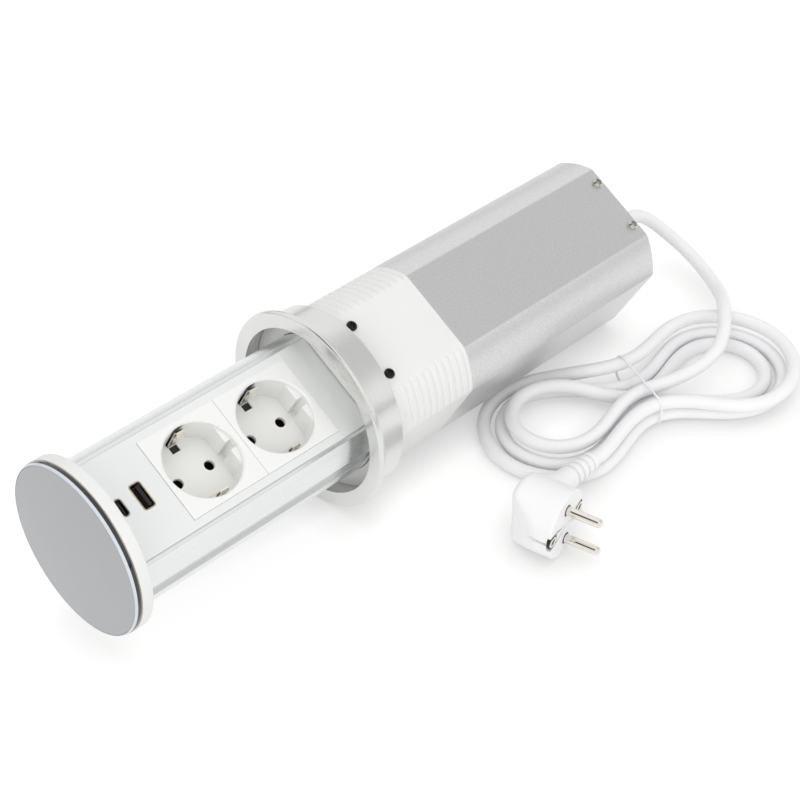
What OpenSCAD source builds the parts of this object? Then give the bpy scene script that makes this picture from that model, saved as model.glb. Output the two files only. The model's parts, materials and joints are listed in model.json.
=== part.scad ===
// Pop-up desk socket: a telescoping column with two earthed sockets and two
// charging ports, shown raised and lying on its side with its lead in a hank.
// Upright frame used while modelling: Z runs along the column towards the cap,
// Z = 0 is the underside of the desk flange, Y is the normal of the socket face.

/* [Desk flange] */
// Diameter of the flange that lies on the desk
flange_d = 108; // [106:1:120]
// Thickness of the flange
flange_t = 3; // [2.5:0.5:4]
// Chamfer of the polished rim
flange_chamfer = 1; // [0.4:0.1:1.5]
// Bore that the cap closes
bore_d = 91; // [89:0.5:92]
// Depth of the land below the flange face that guides the cap
bore_land = 4; // [3.5:0.5:8]
// Collar that drops into the round cut-out of the desk
collar_d = 98.5; // [98:0.5:101]
// Length of the collar below the desk surface
collar_len = 16.5; // [14:0.5:20]
// Wall of the collar
collar_wall = 2.1; // [1.5:0.1:2.3]

/* [Sleeve and housing] */
// End of the moulded sleeve below the desk surface
sleeve_end = 68; // [62:1:80]
// Wall of the moulded sleeve
sleeve_wall = 2.2; // [1.8:0.1:2.6]
// Pitch of the thread segments on the corners
thread_pitch = 4.4; // [4:0.1:4.6]
// Number of thread segments on each corner
thread_count = 10; // [4:1:10]
// Height of a thread segment
thread_depth = 0.9; // [0.4:0.1:1.1]
// Wall of the extruded housing
housing_wall = 2; // [1.5:0.1:2.1]
// Room between the lowered carriage and the end of the housing
end_room = 21; // [20:0.5:40]
// Thickness of the rear plate
plate_t = 4; // [3:0.5:6]

/* [Carriage] */
// How far the column rises out of the desk
stroke = 142.5; // [138:0.5:170]
// Diameter of the carriage extrusion
carriage_d = 76; // [75:0.5:76.5]
// Distance from the column axis to the socket face
face_y = 24.6; // [23:0.2:26]
// Wall of the carriage extrusion
carriage_wall = 2; // [1.5:0.1:2.2]
// Length that stays below the desk surface when the column is up
overlap = 47; // [46:0.5:52]
// Width of the guide groove in each side
groove_w = 9; // [6:0.5:10]
// Depth of the guide groove
groove_depth = 2; // [1.5:0.1:2.5]
// Middle of the guide groove above the column axis
groove_y = 9; // [8:0.5:10]
// Width of the face panel
panel_w = 53.4; // [52:0.2:54]
// Thickness of the face panel
panel_t = 2; // [1.5:0.1:2.5]
// Thickness of the carriage foot
foot_t = 3; // [2.5:0.5:4]

/* [Cap] */
// Depth of the whole cap
cap_depth = 10; // [9.5:0.5:12]
// Radial gap between the cap and the bore
cap_gap = 0.4; // [0.3:0.1:0.8]
// Width of the dark bevel around the glass
bevel_w = 1; // [0.6:0.1:3]
// Thickness of the glass disc
glass_t = 2.1; // [1.5:0.1:2.4]
// Thickness of the grey band under the bevel
band_t = 0.6; // [0.4:0.1:0.8]

/* [Sockets and ports] */
// Side of a socket module
module_w = 45; // [44:0.5:45.5]
// Depth of a socket module behind the face
module_depth = 26; // [24:0.5:30]
// Diameter of a socket well
well_d = 39; // [38:0.2:40]
// Depth of a socket well
well_depth = 17; // [15:0.5:18]
// Spacing of the pin holes
pin_pitch = 19; // [18.5:0.1:19.5]
// Diameter of a pin hole
pin_hole_d = 5.4; // [4.9:0.1:5.6]
// Distance from the cap to the first socket module
module_start = 35.6; // [34:0.2:38]
// Distance from the cap to the middle of the wide charging port
wide_port_at = 22.2; // [21:0.1:24]
// Distance from the cap to the middle of the oval charging port
oval_port_at = 10.6; // [9:0.1:12]
// Opening of the wide charging port
wide_port = [13.2, 5.6]; // [4:0.1:14]
// Opening of the oval charging port
oval_port = [8.9, 3.2]; // [3:0.1:10]
// Depth of the charging ports behind the face
port_depth = 13; // [11:0.5:15]

/* [Lead and plug] */
// Diameter of the lead
cord_d = 7.5; // [7:0.1:7.6]
// Length of the strain relief behind the rear plate
grip_len = 22; // [20:1:24]
// Diameter of the round face of the plug
plug_d = 37; // [36:0.5:38]
// Depth of the plug body behind its face
plug_depth = 27; // [25:0.5:30]
// Diameter of a plug pin
plug_pin_d = 4.8; // [4.6:0.1:4.9]
// Length of a plug pin
plug_pin_len = 19; // [18:0.5:20]

/* [Hidden] */
$fn = 72;
// Cut bodies reach this far past the faces they cut
over = 1;
// Keeps the straight sides of a full-round outline from vanishing
tiny = 0.01;
// Clearance of pieces that slide on each other
run_gap = 0.3;
// Clearance of pieces that are fitted into each other
fit_gap = 0.1;
// Clearance of a running bore, on the radius
bore_gap = 0.1;
// Radial gap between the sleeve and the collar
sleeve_gap = 0.35;

flange_r = flange_d / 2;
bore_r = bore_d / 2;
collar_r = collar_d / 2;
collar_in = collar_r - collar_wall;
sleeve_r = collar_in - sleeve_gap;
carriage_r = carriage_d / 2;
flat = carriage_r + run_gap + sleeve_wall;
sleeve_in_r = sleeve_r - sleeve_wall;
sleeve_in_flat = flat - sleeve_wall;
housing_in_r = sleeve_r - housing_wall;
housing_in_flat = flat - housing_wall;
cap_r = bore_r - cap_gap;
cap_front = flange_t + stroke;
head_z = cap_front - cap_depth;
foot_z = -overlap;
profile_z = foot_z + foot_t;
housing_end = overlap + stroke + end_room;

// Guide ring under the flange
cap_room = 0.5;
ring_z = flange_t - cap_depth - cap_room;
ring_t = 2;
buffer_t = 2;
guide_end = profile_z + run_gap + buffer_t;
buffer_in = 2;
buffer_out = 1;

// Screws: place on the flat, shank, length and [diameter, height] of the head
screw_x = 15;
sleeve_screw_z = -23;
sleeve_screw_d = 3.5;
sleeve_screw_len = 9;
sleeve_head = [5.4, 1.4];
rear_screw_d = 3;
rear_screw_len = 8;
rear_head = [5.6, 2];
cap_screw_d = 3;
cap_head = [5.6, 2];

// Sleeve: shelf over the housing, spigot inside it, plain stretch before the thread
shelf = 10;
thread_start = 0.5;
spigot_len = 12;
spigot_wall = 2.2;

// Rear end
plate_inset = 0.5;
plate_z = -housing_end + plate_inset;
plate_in_z = plate_z + plate_t;
rear_screw_in = 4;
rear_screw_z = -housing_end + rear_screw_in;
lug = [10, 10, 8];
rear_hole_d = 14.2;
grip_neck_d = 14;
grip_tip = 4;

// Carriage details: ledge under the panel, gap beside it and sloping lip outside it
ledge_w = 2.2;
panel_gap = 0.05;
lip_w = 2;
lip_drop = 0.8;
panel_low_y = face_y - panel_t;
ledge_y = panel_low_y - 2;
head_t = 3.5;
stop_w = 40;
stop_y = 36;
buffer_w = 36;
module_proud = 0.4;
module_gap = 0.2;
module_z1 = head_z - module_start - module_w / 2;
module_z2 = module_z1 - module_w;
port_wall = 0.5;
port_back = 1;
wide_port_r = 1;
wide_tongue = [11.2, 1.9];
wide_tongue_gap = 0.6;
oval_tongue = [6.6, 0.8];

// Socket wells: floor over the contacts, guide blocks, and the slots of the earth clips
contact_floor = 2;
contact_d = 7.4;
cavity_d = contact_d + 2 * fit_gap;
well_chamfer = 0.8;
guide_depth = 3.5;
guide_at = well_d / 2 - guide_depth;
guide_gap = 4.4;
guide_drop = 3;
slot_wall = 1.4;
slot_drop = 1;
floor_slot = [3.8, 4.8];
post_drop = 0.8;
lining_t = 0.8;
lining_drop = 1.2;
carrier_t = 1.5;
carrier_in = 1.2;
carrier_w = module_w - 2 * carrier_in;
slot_w = 5.4;
slot_out = module_w / 2 - slot_wall;
clip_w = 4.6;
clip_t = 0.6;
clip_gap = 1.9;
clip_out = slot_out - fit_gap - lining_t - clip_gap;
clip_bow = 2.6;
clip_hook = 1.2;
clip_roll = 1.9;
leg_room = 0.2;
slot_low = clip_out - clip_t - leg_room;
floor_divider = 0.3;
floor_slot_at = slot_low - floor_divider - floor_slot[0] / 2;
board_t = 1.6;
board_w = 40;
board_y = face_y - port_depth - board_t;
board_len = 26;

// Gas spring beside the sockets
spring_y = -24;
spring_d = 15;
spring_bore = 10.4;
spring_base = 10;
spring_neck = 6;
rod_d = 6;
piston_d = spring_bore - 2 * bore_gap;
piston_t = 6;
piston_room = 4;
spring_room = 8;
spring_top = head_z - head_t - stroke - spring_room;
spring_hole_d = spring_d + 1;
wire_hole_d = 20;

// Push latch behind the foot
latch = [14, 14, 14];
latch_slot = [8, 5, 10];
latch_y = 22;
striker = [6, 3, 11.5];

// Cap stack
cap_base_t = 3;
cap_rim_w = 4.5;
dish_t = 1;
cap_lip = 0.1;
bevel_low = cap_front - glass_t - dish_t;
band_low = bevel_low - band_t;
cap_screws_at = [[-20, -14], [20, -14], [-20, 14], [20, 14]];

// Pose: the flange rim and the end of the housing rest on the surface
roll = 27.5;
corner_angle = acos(flat / sleeve_r);
tilt = atan((flange_r - sleeve_r * cos(corner_angle - roll)) / housing_end);
low_x = -cap_front * cos(tilt) - cap_r * sin(tilt);
high_x = housing_end * cos(tilt) + sleeve_r * sin(tilt);
pose_shift = [-(low_x + high_x) / 2, 0, flange_r * cos(tilt)];

// Hank of the lead: loops on the surface, drawn in and tied at the waist
hank_at = [136, -77.5, 0];
hank_turn = -19;
hank_half_turns = 6;
hank_descent = 1;
hank_climb = 5;
fold_at = 52;
fold_first = 21.3;
lane_first = 1.7;
lane_start = 3;
lane_step = 4.85;
layer_rise = 8.2;
tie_lift = 1.2;
run_share = 1 / 4;
descent_share = 1 / 5;
rings_per_half = 12;
hank_sides = 6;
lead_sides = 10;
tail = [[-12, -18, 13.2], [-24, -23.3, 12.7], [-35, -30, 12.5], [-45, -35.8, 12.7], [-53, -38.9, 13.4]];
lead_points = [
    [216, 0, 44], [230.5, -1.5, 35.5], [240, -9, 24.5], [244.5, -22, 15.5], [241.5, -39, 10.5],
    [231.5, -55, 12.5], [218, -67.5, 20], [206.5, -77.5, 22], [187, -89, 17], [166, -89, 13.5]
];

// Tie around the waist
tie_d = 1.2;
tie_gap = 0.3;

// Plug beside the hank
plug_at = [25.4, -121.2, plug_d / 2];
plug_turn = -75.5;
boot_len = 40;
boot_base_d = 24;
boot_tip_d = 10;
boot_neck_d = 13;
boot_grooves = 5;
boot_groove_w = 2;
boot_groove_depth = 1.1;
boot_plain = 14;
boot_lip = 3;
pin_root = 8;
pin_tip = 1.2;
plug_groove_len = 19;
plug_groove_depth = 3.1;
plug_groove_w = 6;
strip_len = 17.5;
strip_gap = 0.5;
plug_draft = 1;
plug_round = 3;
plug_corner = 5;
plug_back_low = 8.5;
plug_slope = 9;

// Lays the upright column down: rolled about its axis and tilted onto its rear end
module lay()
    translate(pose_shift) rotate([0, tilt, 0]) rotate([90 + roll, 0, 0]) rotate([0, -90, 0]) children();

// Place of a point on the column axis after the column is laid down
function axis_point(z) = pose_shift + z * axis_dir();
function axis_dir() = [-cos(tilt), 0, sin(tilt)];

// Puts a shape on the socket face: its z = 0 is the face, its -z goes into the column
module on_face(z) translate([0, face_y, z]) rotate([-90, 0, 0]) children();

// Circle cut by four flats
module cut_circle(r, half) {
    intersection() {
        circle(r);
        square(2 * half, center = true);
    }
}

// Cross-section of the carriage, grown by a clearance
module carriage_outline(grow) {
    r = carriage_r + grow;
    difference() {
        intersection() {
            circle(r);
            translate([-r, -r]) square([2 * r, r + face_y + grow]);
        }
        for (side = [-1, 1])
            translate([side * (carriage_r - groove_depth + grow + r / 2), groove_y])
                square([r, groove_w - 2 * grow], center = true);
    }
}

// Hollow of the carriage extrusion, shrunk by a clearance
module carriage_hollow(shrink) {
    r = carriage_r - carriage_wall - shrink;
    groove_in = carriage_r - groove_depth - carriage_wall - shrink;
    difference() {
        intersection() {
            circle(r);
            translate([-r, -r]) square([2 * r, r + ledge_y - shrink]);
        }
        for (side = [-1, 1])
            translate([side * (groove_in + r / 2), groove_y])
                square([r, groove_w + 2 * carriage_wall + 2 * shrink], center = true);
    }
}

// Rectangle with round corners
module rounded(size, r) {
    square([size[0] - 2 * r, size[1]], center = true);
    square([size[0], size[1] - 2 * r], center = true);
    for (x = [-1, 1], y = [-1, 1])
        translate([x * (size[0] / 2 - r), y * (size[1] / 2 - r)]) circle(r);
}

// Pan-head screw with a cross recess; its seat is z = 0 and its shank points to -z
module pan_screw(head, shank_d, shank_len) {
    head_d = head[0];
    head_h = head[1];
    recess = head_d / 5;
    difference() {
        union() {
            rotate_extrude() polygon([
                [0, 0], [head_d / 2, 0], [head_d / 2, head_h / 2],
                [head_d / 2 - head_h / 2, head_h], [0, head_h]
            ]);
            translate([0, 0, -shank_len]) cylinder(d = shank_d, h = shank_len + head_h / 2);
        }
        for (turn = [0, 90])
            rotate(turn) translate([0, 0, head_h]) cube([head_d * 0.6, recess, head_h], center = true);
    }
}

// The two screws or screw holes on the upper flat, at a height along the column
module on_flat(z) {
    for (side = [-1, 1])
        translate([side * screw_x, flat, z]) rotate([-90, 0, 0]) children();
}

module screw_hole(d, depth) translate([0, 0, -depth]) cylinder(d = d, h = depth + over);

module desk_flange() {
    color("silver") lay() rotate_extrude() polygon([
        [bore_r, flange_t], [flange_r - flange_chamfer, flange_t], [flange_r, flange_t - flange_chamfer],
        [flange_r, 0], [collar_r, 0], [collar_r, -collar_len], [collar_in, -collar_len],
        [collar_in, flange_t - bore_land], [bore_r, flange_t - bore_land]
    ]);
}

// Outline of the sleeve with its thread segments, from the ring to the housing
module sleeve_outline() {
    top = ring_z - ring_t;
    thread_low = -sleeve_end + thread_pitch * thread_start;
    thread_top = -sleeve_end + thread_pitch * (thread_count + thread_start);
    root = sleeve_r - thread_depth;
    polygon(concat(
        [[0, -sleeve_end], [sleeve_r, -sleeve_end], [sleeve_r, thread_low - thread_depth],
            [root, thread_low]],
        [for (i = [0 : thread_count - 1], p = [[0, 0.15], [1, 0.3], [1, 0.7], [0, 0.85]])
            [root + p[0] * thread_depth, -sleeve_end + thread_pitch * (i + thread_start + p[1])]],
        [[root, thread_top], [sleeve_r, thread_top + thread_depth], [sleeve_r, top], [0, top]]
    ));
}

module threaded_sleeve() {
    spigot_r = housing_in_r - fit_gap;
    color("white") lay() difference() {
        union() {
            intersection() {
                rotate_extrude() sleeve_outline();
                translate([-flat, -flat, -sleeve_end]) cube([2 * flat, 2 * flat, sleeve_end]);
            }
            translate([0, 0, -sleeve_end - spigot_len]) linear_extrude(spigot_len + over)
                cut_circle(spigot_r, housing_in_flat - fit_gap);
        }
        translate([0, 0, -sleeve_end + shelf]) linear_extrude(sleeve_end)
            cut_circle(sleeve_in_r, sleeve_in_flat);
        translate([0, 0, -sleeve_end - spigot_len - over]) linear_extrude(sleeve_end + spigot_len)
            cut_circle(spigot_r - spigot_wall, sleeve_in_flat);
        translate([0, 0, -sleeve_end - spigot_len - over]) linear_extrude(spigot_len + over)
            cut_circle(spigot_r - spigot_wall, flat);
        on_flat(sleeve_screw_z) screw_hole(sleeve_screw_d + 2 * fit_gap, sleeve_wall + over);
    }
}

module guide_ring() {
    color("gainsboro") lay() difference() {
        union() {
            translate([0, 0, ring_z - ring_t]) linear_extrude(ring_t) circle(collar_in - fit_gap);
            translate([0, 0, guide_end]) linear_extrude(ring_z - ring_t - guide_end)
                cut_circle(sleeve_in_r - fit_gap, sleeve_in_flat - fit_gap);
        }
        translate([0, 0, guide_end - over]) linear_extrude(ring_z - guide_end + 2 * over)
            carriage_outline(run_gap);
        translate([-module_w / 2 - run_gap, 0, guide_end - over])
            cube([module_w + 2 * run_gap, face_y + module_proud + run_gap, ring_z - guide_end + 2 * over]);
        on_flat(sleeve_screw_z) screw_hole(sleeve_screw_d + 2 * fit_gap, sleeve_screw_len + over);
    }
}

module sleeve_screws() {
    color("black") lay() on_flat(sleeve_screw_z)
        pan_screw(sleeve_head, sleeve_screw_d, sleeve_screw_len);
}

module stop_buffer() {
    color("dimgray") lay()
        translate([-buffer_w / 2, face_y + buffer_in, guide_end - buffer_t])
            cube([buffer_w, stop_y - buffer_out - face_y - buffer_in, buffer_t]);
}

module housing() {
    color("lightgray") lay() difference() {
        translate([0, 0, -housing_end]) linear_extrude(housing_end - sleeve_end) difference() {
            cut_circle(sleeve_r, flat);
            cut_circle(housing_in_r, housing_in_flat);
        }
        on_flat(rear_screw_z) screw_hole(rear_screw_d + 2 * fit_gap, housing_wall + over);
    }
}

module rear_plate() {
    color("gray") lay() difference() {
        union() {
            translate([0, 0, plate_z]) linear_extrude(plate_t)
                cut_circle(housing_in_r - fit_gap, housing_in_flat - fit_gap);
            for (side = [-1, 1])
                translate([side * screw_x - lug[0] / 2, housing_in_flat - fit_gap - lug[1], plate_z])
                    cube(lug);
        }
        translate([0, 0, plate_z - over]) cylinder(d = rear_hole_d, h = plate_t + 2 * over);
        on_flat(rear_screw_z) screw_hole(rear_screw_d + 2 * fit_gap, rear_screw_len + over);
    }
}

module rear_screws() {
    color("silver") lay() on_flat(rear_screw_z) pan_screw(rear_head, rear_screw_d, rear_screw_len);
}

// Strain relief: a flange inside the plate, a neck through it and a ringed taper behind
module cord_grip() {
    flange = 18;
    flange_h = 3;
    shoulder = 3;
    tip_d = cord_d + 2.5;
    rings = 4;
    pitch = (grip_len - shoulder - grip_tip) / rings;
    taper = [for (i = [0 : rings - 1], p = [[0, 0], [0, 0.55], [1, 0.6], [1, 0.95]])
        let (s = (i + p[1]) / rings)
            [grip_neck_d / 2 + s * (tip_d - grip_neck_d) / 2 - 0.8 * p[0],
                plate_z - shoulder - pitch * (i + p[1])]];
    color("white") lay() rotate_extrude() polygon(concat(
        [[0, plate_in_z + flange_h], [flange / 2, plate_in_z + flange_h], [flange / 2, plate_in_z],
            [grip_neck_d / 2, plate_in_z], [grip_neck_d / 2, plate_z], [flange / 2, plate_z],
            [flange / 2, plate_z - shoulder]],
        taper,
        [[tip_d / 2, plate_z - grip_len + grip_tip], [tip_d / 2, plate_z - grip_len], [0, plate_z - grip_len]]
    ));
}

module gas_spring_cylinder() {
    length = spring_top - plate_in_z;
    color("darkgray") lay() translate([0, spring_y, plate_in_z]) difference() {
        cylinder(d = spring_d, h = length);
        translate([0, 0, spring_base]) cylinder(d = spring_bore, h = length - spring_base - spring_neck);
        translate([0, 0, length - spring_neck - over])
            cylinder(d = rod_d + 2 * bore_gap, h = spring_neck + 2 * over);
    }
}

module gas_spring_rod() {
    piston_z = spring_top - spring_neck - piston_t - piston_room;
    color("silver") lay() translate([0, spring_y, piston_z]) {
        cylinder(d = piston_d, h = piston_t);
        cylinder(d = rod_d, h = head_z - head_t - piston_z);
    }
}

module push_latch() {
    color("dimgray") lay() translate([0, latch_y, plate_in_z]) difference() {
        translate([-latch[0] / 2, -latch[1] / 2, 0]) cube(latch);
        translate([-latch_slot[0] / 2, -latch_slot[1] / 2, latch[2] - latch_slot[2]])
            cube([latch_slot[0], latch_slot[1], latch_slot[2] + over]);
    }
}

module latch_striker() {
    color("silver") lay() translate([-striker[0] / 2, latch_y - striker[1] / 2, foot_z - striker[2]])
        cube(striker);
}

module carriage_profile() {
    half = panel_w / 2 + panel_gap;
    window = panel_w - 2 * ledge_w;
    color("lightgray") lay() translate([0, 0, profile_z]) linear_extrude(head_z - profile_z) difference() {
        carriage_outline(0);
        carriage_hollow(0);
        translate([-window / 2, 0]) square([window, face_y + over]);
        translate([-half, panel_low_y]) square([2 * half, panel_t + over]);
        for (side = [-1, 1])
            polygon([
                [side * (half - over), face_y + over], [side * (half - over), face_y - lip_drop],
                [side * half, face_y - lip_drop], [side * (half + lip_w), face_y],
                [side * (half + lip_w), face_y + over]
            ]);
    }
}

module face_panel() {
    edge = 0.2;
    half = panel_w / 2;
    window = module_w + 2 * fit_gap;
    color("gainsboro") lay() difference() {
        translate([0, 0, profile_z]) linear_extrude(head_z - profile_z) polygon([
            [-half, panel_low_y], [half, panel_low_y], [half, face_y - edge], [half - edge, face_y],
            [edge - half, face_y], [-half, face_y - edge]
        ]);
        translate([-window / 2, panel_low_y - over, module_z2 - window / 2])
            cube([window, panel_t + 2 * over, module_w + window]);
        on_face(head_z - wide_port_at) translate([0, 0, -panel_t - over]) linear_extrude(panel_t + 2 * over)
            port_outline(wide_port, wide_port_r, port_wall + fit_gap);
        on_face(head_z - oval_port_at) translate([0, 0, -panel_t - over]) linear_extrude(panel_t + 2 * over)
            port_outline(oval_port, oval_port[1] / 2, port_wall + fit_gap);
    }
}

// Mouth of a charging port, grown by a wall
module port_outline(size, r, grow) rounded([size[0] + 2 * grow, size[1] + 2 * grow], r + grow - tiny);

module socket_module(z) {
    slot_mid = (slot_low + slot_out) / 2;
    slot_depth = slot_out - slot_low;
    clip_room = slot_out - clip_out + clip_bow + leg_room;
    clip_mid = slot_out - clip_room / 2;
    color("white") lay() on_face(z) difference() {
        union() {
            difference() {
                translate([-module_w / 2, (module_gap - module_w) / 2, -module_depth])
                    cube([module_w, module_w - module_gap, module_depth + module_proud]);
                translate([0, 0, module_proud - well_depth]) cylinder(d = well_d, h = well_depth + over);
                translate([0, 0, module_proud - well_chamfer])
                    cylinder(r1 = well_d / 2, r2 = well_d / 2 + 2 * well_chamfer, h = 2 * well_chamfer);
            }
            guide_blocks();
        }
        for (side = [-1, 1]) {
            translate([0, side * pin_pitch / 2, -module_depth - over]) {
                cylinder(d = pin_hole_d, h = module_depth + over);
                cylinder(d = cavity_d, h = module_depth - well_depth + module_proud - contact_floor + over);
            }
            translate([side * slot_mid - slot_depth / 2, -slot_w / 2, -module_depth - over])
                cube([slot_depth, slot_w, module_depth + over + module_proud - slot_drop]);
            translate([side * clip_mid - clip_room / 2, -slot_w / 2, module_proud - well_depth])
                cube([clip_room, slot_w, well_depth - slot_drop]);
            translate([side * floor_slot_at, 0, -module_depth])
                cube([floor_slot[0], floor_slot[1], module_depth], center = true);
        }
    }
}

// Two flat blocks at the flange end of the pin line, with a notch between them
module guide_blocks() {
    height = well_depth - guide_drop;
    translate([0, 0, module_proud - well_depth]) difference() {
        cylinder(d = well_d + over, h = height);
        translate([-well_d, -well_d, -over]) cube([2 * well_d, well_d + guide_at, height + 2 * over]);
        cube([guide_gap, well_d + 4 * over, 3 * height], center = true);
    }
}

// Dark carrier behind a module: its posts fill the floor slots and line the clip slots
module contact_carrier(z) {
    floor_z = module_proud - well_depth - post_drop;
    post = [floor_slot[0] - 2 * fit_gap, floor_slot[1] - 2 * fit_gap, module_depth + floor_z + carrier_t];
    lining = [lining_t, slot_w - 2 * fit_gap, module_depth + module_proud - lining_drop + carrier_t];
    color("black") lay() on_face(z) translate([0, 0, -module_depth - carrier_t]) {
        translate([0, 0, carrier_t / 2]) cube([carrier_w, carrier_w, carrier_t], center = true);
        for (side = [-1, 1]) {
            translate([side * floor_slot_at, 0, post[2] / 2]) cube(post, center = true);
            translate([side * (slot_out - fit_gap - lining_t / 2), 0, lining[2] / 2])
                cube(lining, center = true);
        }
    }
}

module contact_carrier_1() contact_carrier(module_z1);
module contact_carrier_2() contact_carrier(module_z2);

module socket_module_1() socket_module(module_z1);
module socket_module_2() socket_module(module_z2);

// Spring strip of an earth clip, seen along its width: its leg stands on the carrier
module clip_strip() {
    out = clip_out;
    in = out - clip_bow;
    low = -module_depth;
    hook = -clip_hook;
    knee = -6;
    tip = -10;
    polygon([
        [out, low], [out, hook - 0.8], [out - 0.8, hook], [out - clip_roll, hook - 0.4], [in, knee], [in + 1, tip],
        [in + 1 + clip_t, tip], [in + clip_t + 0.05, knee], [out - 1.4, hook - 1], [out - 0.9, hook - 0.7],
        [out - clip_t, hook - 1.4], [out - clip_t, low]
    ]);
}

module earth_clips(z) {
    color("silver") lay() on_face(z)
        for (turn = [0, 180])
            rotate(turn) translate([0, clip_w / 2, 0]) rotate([90, 0, 0]) linear_extrude(clip_w) clip_strip();
}

module earth_clips_1() earth_clips(module_z1);
module earth_clips_2() earth_clips(module_z2);

module socket_contacts(z) {
    length = module_depth - well_depth + module_proud - contact_floor;
    color("gold") lay() on_face(z)
        for (side = [-1, 1])
            translate([0, side * pin_pitch / 2, -module_depth]) difference() {
                cylinder(d = contact_d, h = length);
                translate([0, 0, -over]) cylinder(d = pin_hole_d, h = length + 2 * over);
            }
}

module socket_contacts_1() socket_contacts(module_z1);
module socket_contacts_2() socket_contacts(module_z2);

// Drawn metal shell of a charging port, closed at the board
module port_shell(size, r, z) {
    color("silver") lay() on_face(z) difference() {
        translate([0, 0, -port_depth]) linear_extrude(port_depth) port_outline(size, r, port_wall);
        translate([0, 0, port_back - port_depth]) linear_extrude(port_depth) rounded(size, r - tiny);
    }
}

module wide_port_shell() port_shell(wide_port, wide_port_r, head_z - wide_port_at);
module oval_port_shell() port_shell(oval_port, oval_port[1] / 2, head_z - oval_port_at);

module wide_port_tongue() {
    color("black") lay() on_face(head_z - wide_port_at)
        translate([
            -wide_tongue[0] / 2, wide_port[1] / 2 - wide_tongue[1] - wide_tongue_gap, port_back - port_depth
        ])
            cube([wide_tongue[0], wide_tongue[1], port_depth - 2 * port_back]);
}

module oval_port_tongue() {
    color("black") lay() on_face(head_z - oval_port_at)
        translate([-oval_tongue[0] / 2, -oval_tongue[1] / 2, port_back - port_depth])
            cube([oval_tongue[0], oval_tongue[1], port_depth - 2 * port_back]);
}

module charger_board() {
    color("darkgreen") lay()
        translate([-board_w / 2, board_y, head_z - head_t - board_len]) cube([board_w, board_t, board_len]);
}

module carriage_head() {
    color("gray") lay() difference() {
        translate([0, 0, head_z - head_t]) linear_extrude(head_t) carriage_hollow(fit_gap);
        for (p = cap_screws_at)
            translate([p[0], p[1], head_z - head_t - over])
                cylinder(d = cap_screw_d + 2 * fit_gap, h = head_t + 2 * over);
    }
}

module carriage_foot() {
    plug_t = 4;
    color("gray") lay() difference() {
        union() {
            translate([0, 0, foot_z]) linear_extrude(foot_t) {
                carriage_outline(0);
                translate([-stop_w / 2, 0]) square([stop_w, stop_y]);
            }
            translate([0, 0, profile_z]) linear_extrude(plug_t) carriage_hollow(fit_gap);
        }
        translate([0, spring_y, foot_z - over]) cylinder(d = spring_hole_d, h = foot_t + plug_t + 2 * over);
        translate([0, 0, foot_z - over]) cylinder(d = wire_hole_d, h = foot_t + plug_t + 2 * over);
    }
}

// White cup of the cap: a base screwed to the carriage and a rim that carries the band
module cap_ring() {
    edge = 0.6;
    color("white") lay() difference() {
        rotate_extrude() polygon([
            [0, head_z], [cap_r - edge, head_z], [cap_r, head_z + edge], [cap_r, band_low],
            [cap_r - cap_rim_w, band_low], [cap_r - cap_rim_w, head_z + cap_base_t], [0, head_z + cap_base_t]
        ]);
        for (p = cap_screws_at)
            translate([p[0], p[1], head_z - over])
                cylinder(d = cap_screw_d + 2 * fit_gap, h = cap_base_t + 2 * over);
    }
}

module cap_band() {
    inset = 0.3;
    color("darkgray") lay() translate([0, 0, band_low]) difference() {
        cylinder(r = cap_r - inset, h = band_t);
        translate([0, 0, -over]) cylinder(r = cap_r - cap_rim_w, h = band_t + 2 * over);
    }
}

// Dark polished dish around the glass
module cap_bevel() {
    inner = cap_r - bevel_w - cap_lip;
    color("black") lay() rotate_extrude() polygon([
        [0, bevel_low], [cap_r - cap_lip, bevel_low], [cap_r - cap_lip, bevel_low + dish_t],
        [inner + fit_gap, cap_front], [inner, cap_front], [inner, bevel_low + dish_t], [0, bevel_low + dish_t]
    ]);
}

module cap_glass() {
    edge = 0.4;
    r = cap_r - bevel_w - cap_lip - fit_gap;
    low = bevel_low + dish_t;
    color("gray") lay() rotate_extrude() polygon([
        [0, low], [r, low], [r, cap_front - edge], [r - edge, cap_front], [0, cap_front]
    ]);
}

module cap_screws() {
    color("silver") lay()
        for (p = cap_screws_at)
            translate([p[0], p[1], head_z + cap_base_t])
                pan_screw(cap_head, cap_screw_d, cap_base_t + head_t);
}

// Soft blend from 0 to 1
function blend(s) = (1 - cos(180 * s)) / 2;

// Spiral count of the hank: in on top, out below after the descent, in again after the climb
function spiral(u) = u <= hank_climb ? abs(u - hank_descent) : 2 * hank_climb - hank_descent - u;
function lane(u) = u == 0 ? lane_start : lane_first + lane_step * spiral(u);
function fold_r(h) = fold_first + lane_step * spiral(h + 0.5);

// Layer of the hank at half turn u: it starts on top, runs below and climbs again
function layer(u) =
    u <= hank_descent ? 1 - blend(min(max((u - hank_descent) / descent_share + 1, 0), 1))
    : blend(min(max((u - hank_climb) / run_share + 1, 0), 1));

function hank_z(u) = cord_d / 2 + layer_rise * layer(u) + tie_lift * pow(abs(cos(180 * u)), 6);

// Centre line of the hank at half turn u: run out, fold, run back to the waist
function hank_point(u) =
    let (
        h = min(floor(u + 0.0001), hank_half_turns - 1), f = u - h,
        side = h % 2 == 0 ? -1 : 1, r = fold_r(h)
    )
    f < run_share
    ? let (s = f / run_share)
        [side * fold_at * s, side * (lane(h) + (r - lane(h)) * blend(s)), hank_z(u)]
    : f > 1 - run_share
    ? let (s = (1 - f) / run_share)
        [side * fold_at * s, -side * (lane(h + 1) + (r - lane(h + 1)) * blend(s)), hank_z(u)]
    : let (a = 180 * (f - run_share) / (1 - 2 * run_share))
        [side * (fold_at + r * sin(a)), side * r * cos(a), hank_z(u)];

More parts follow.
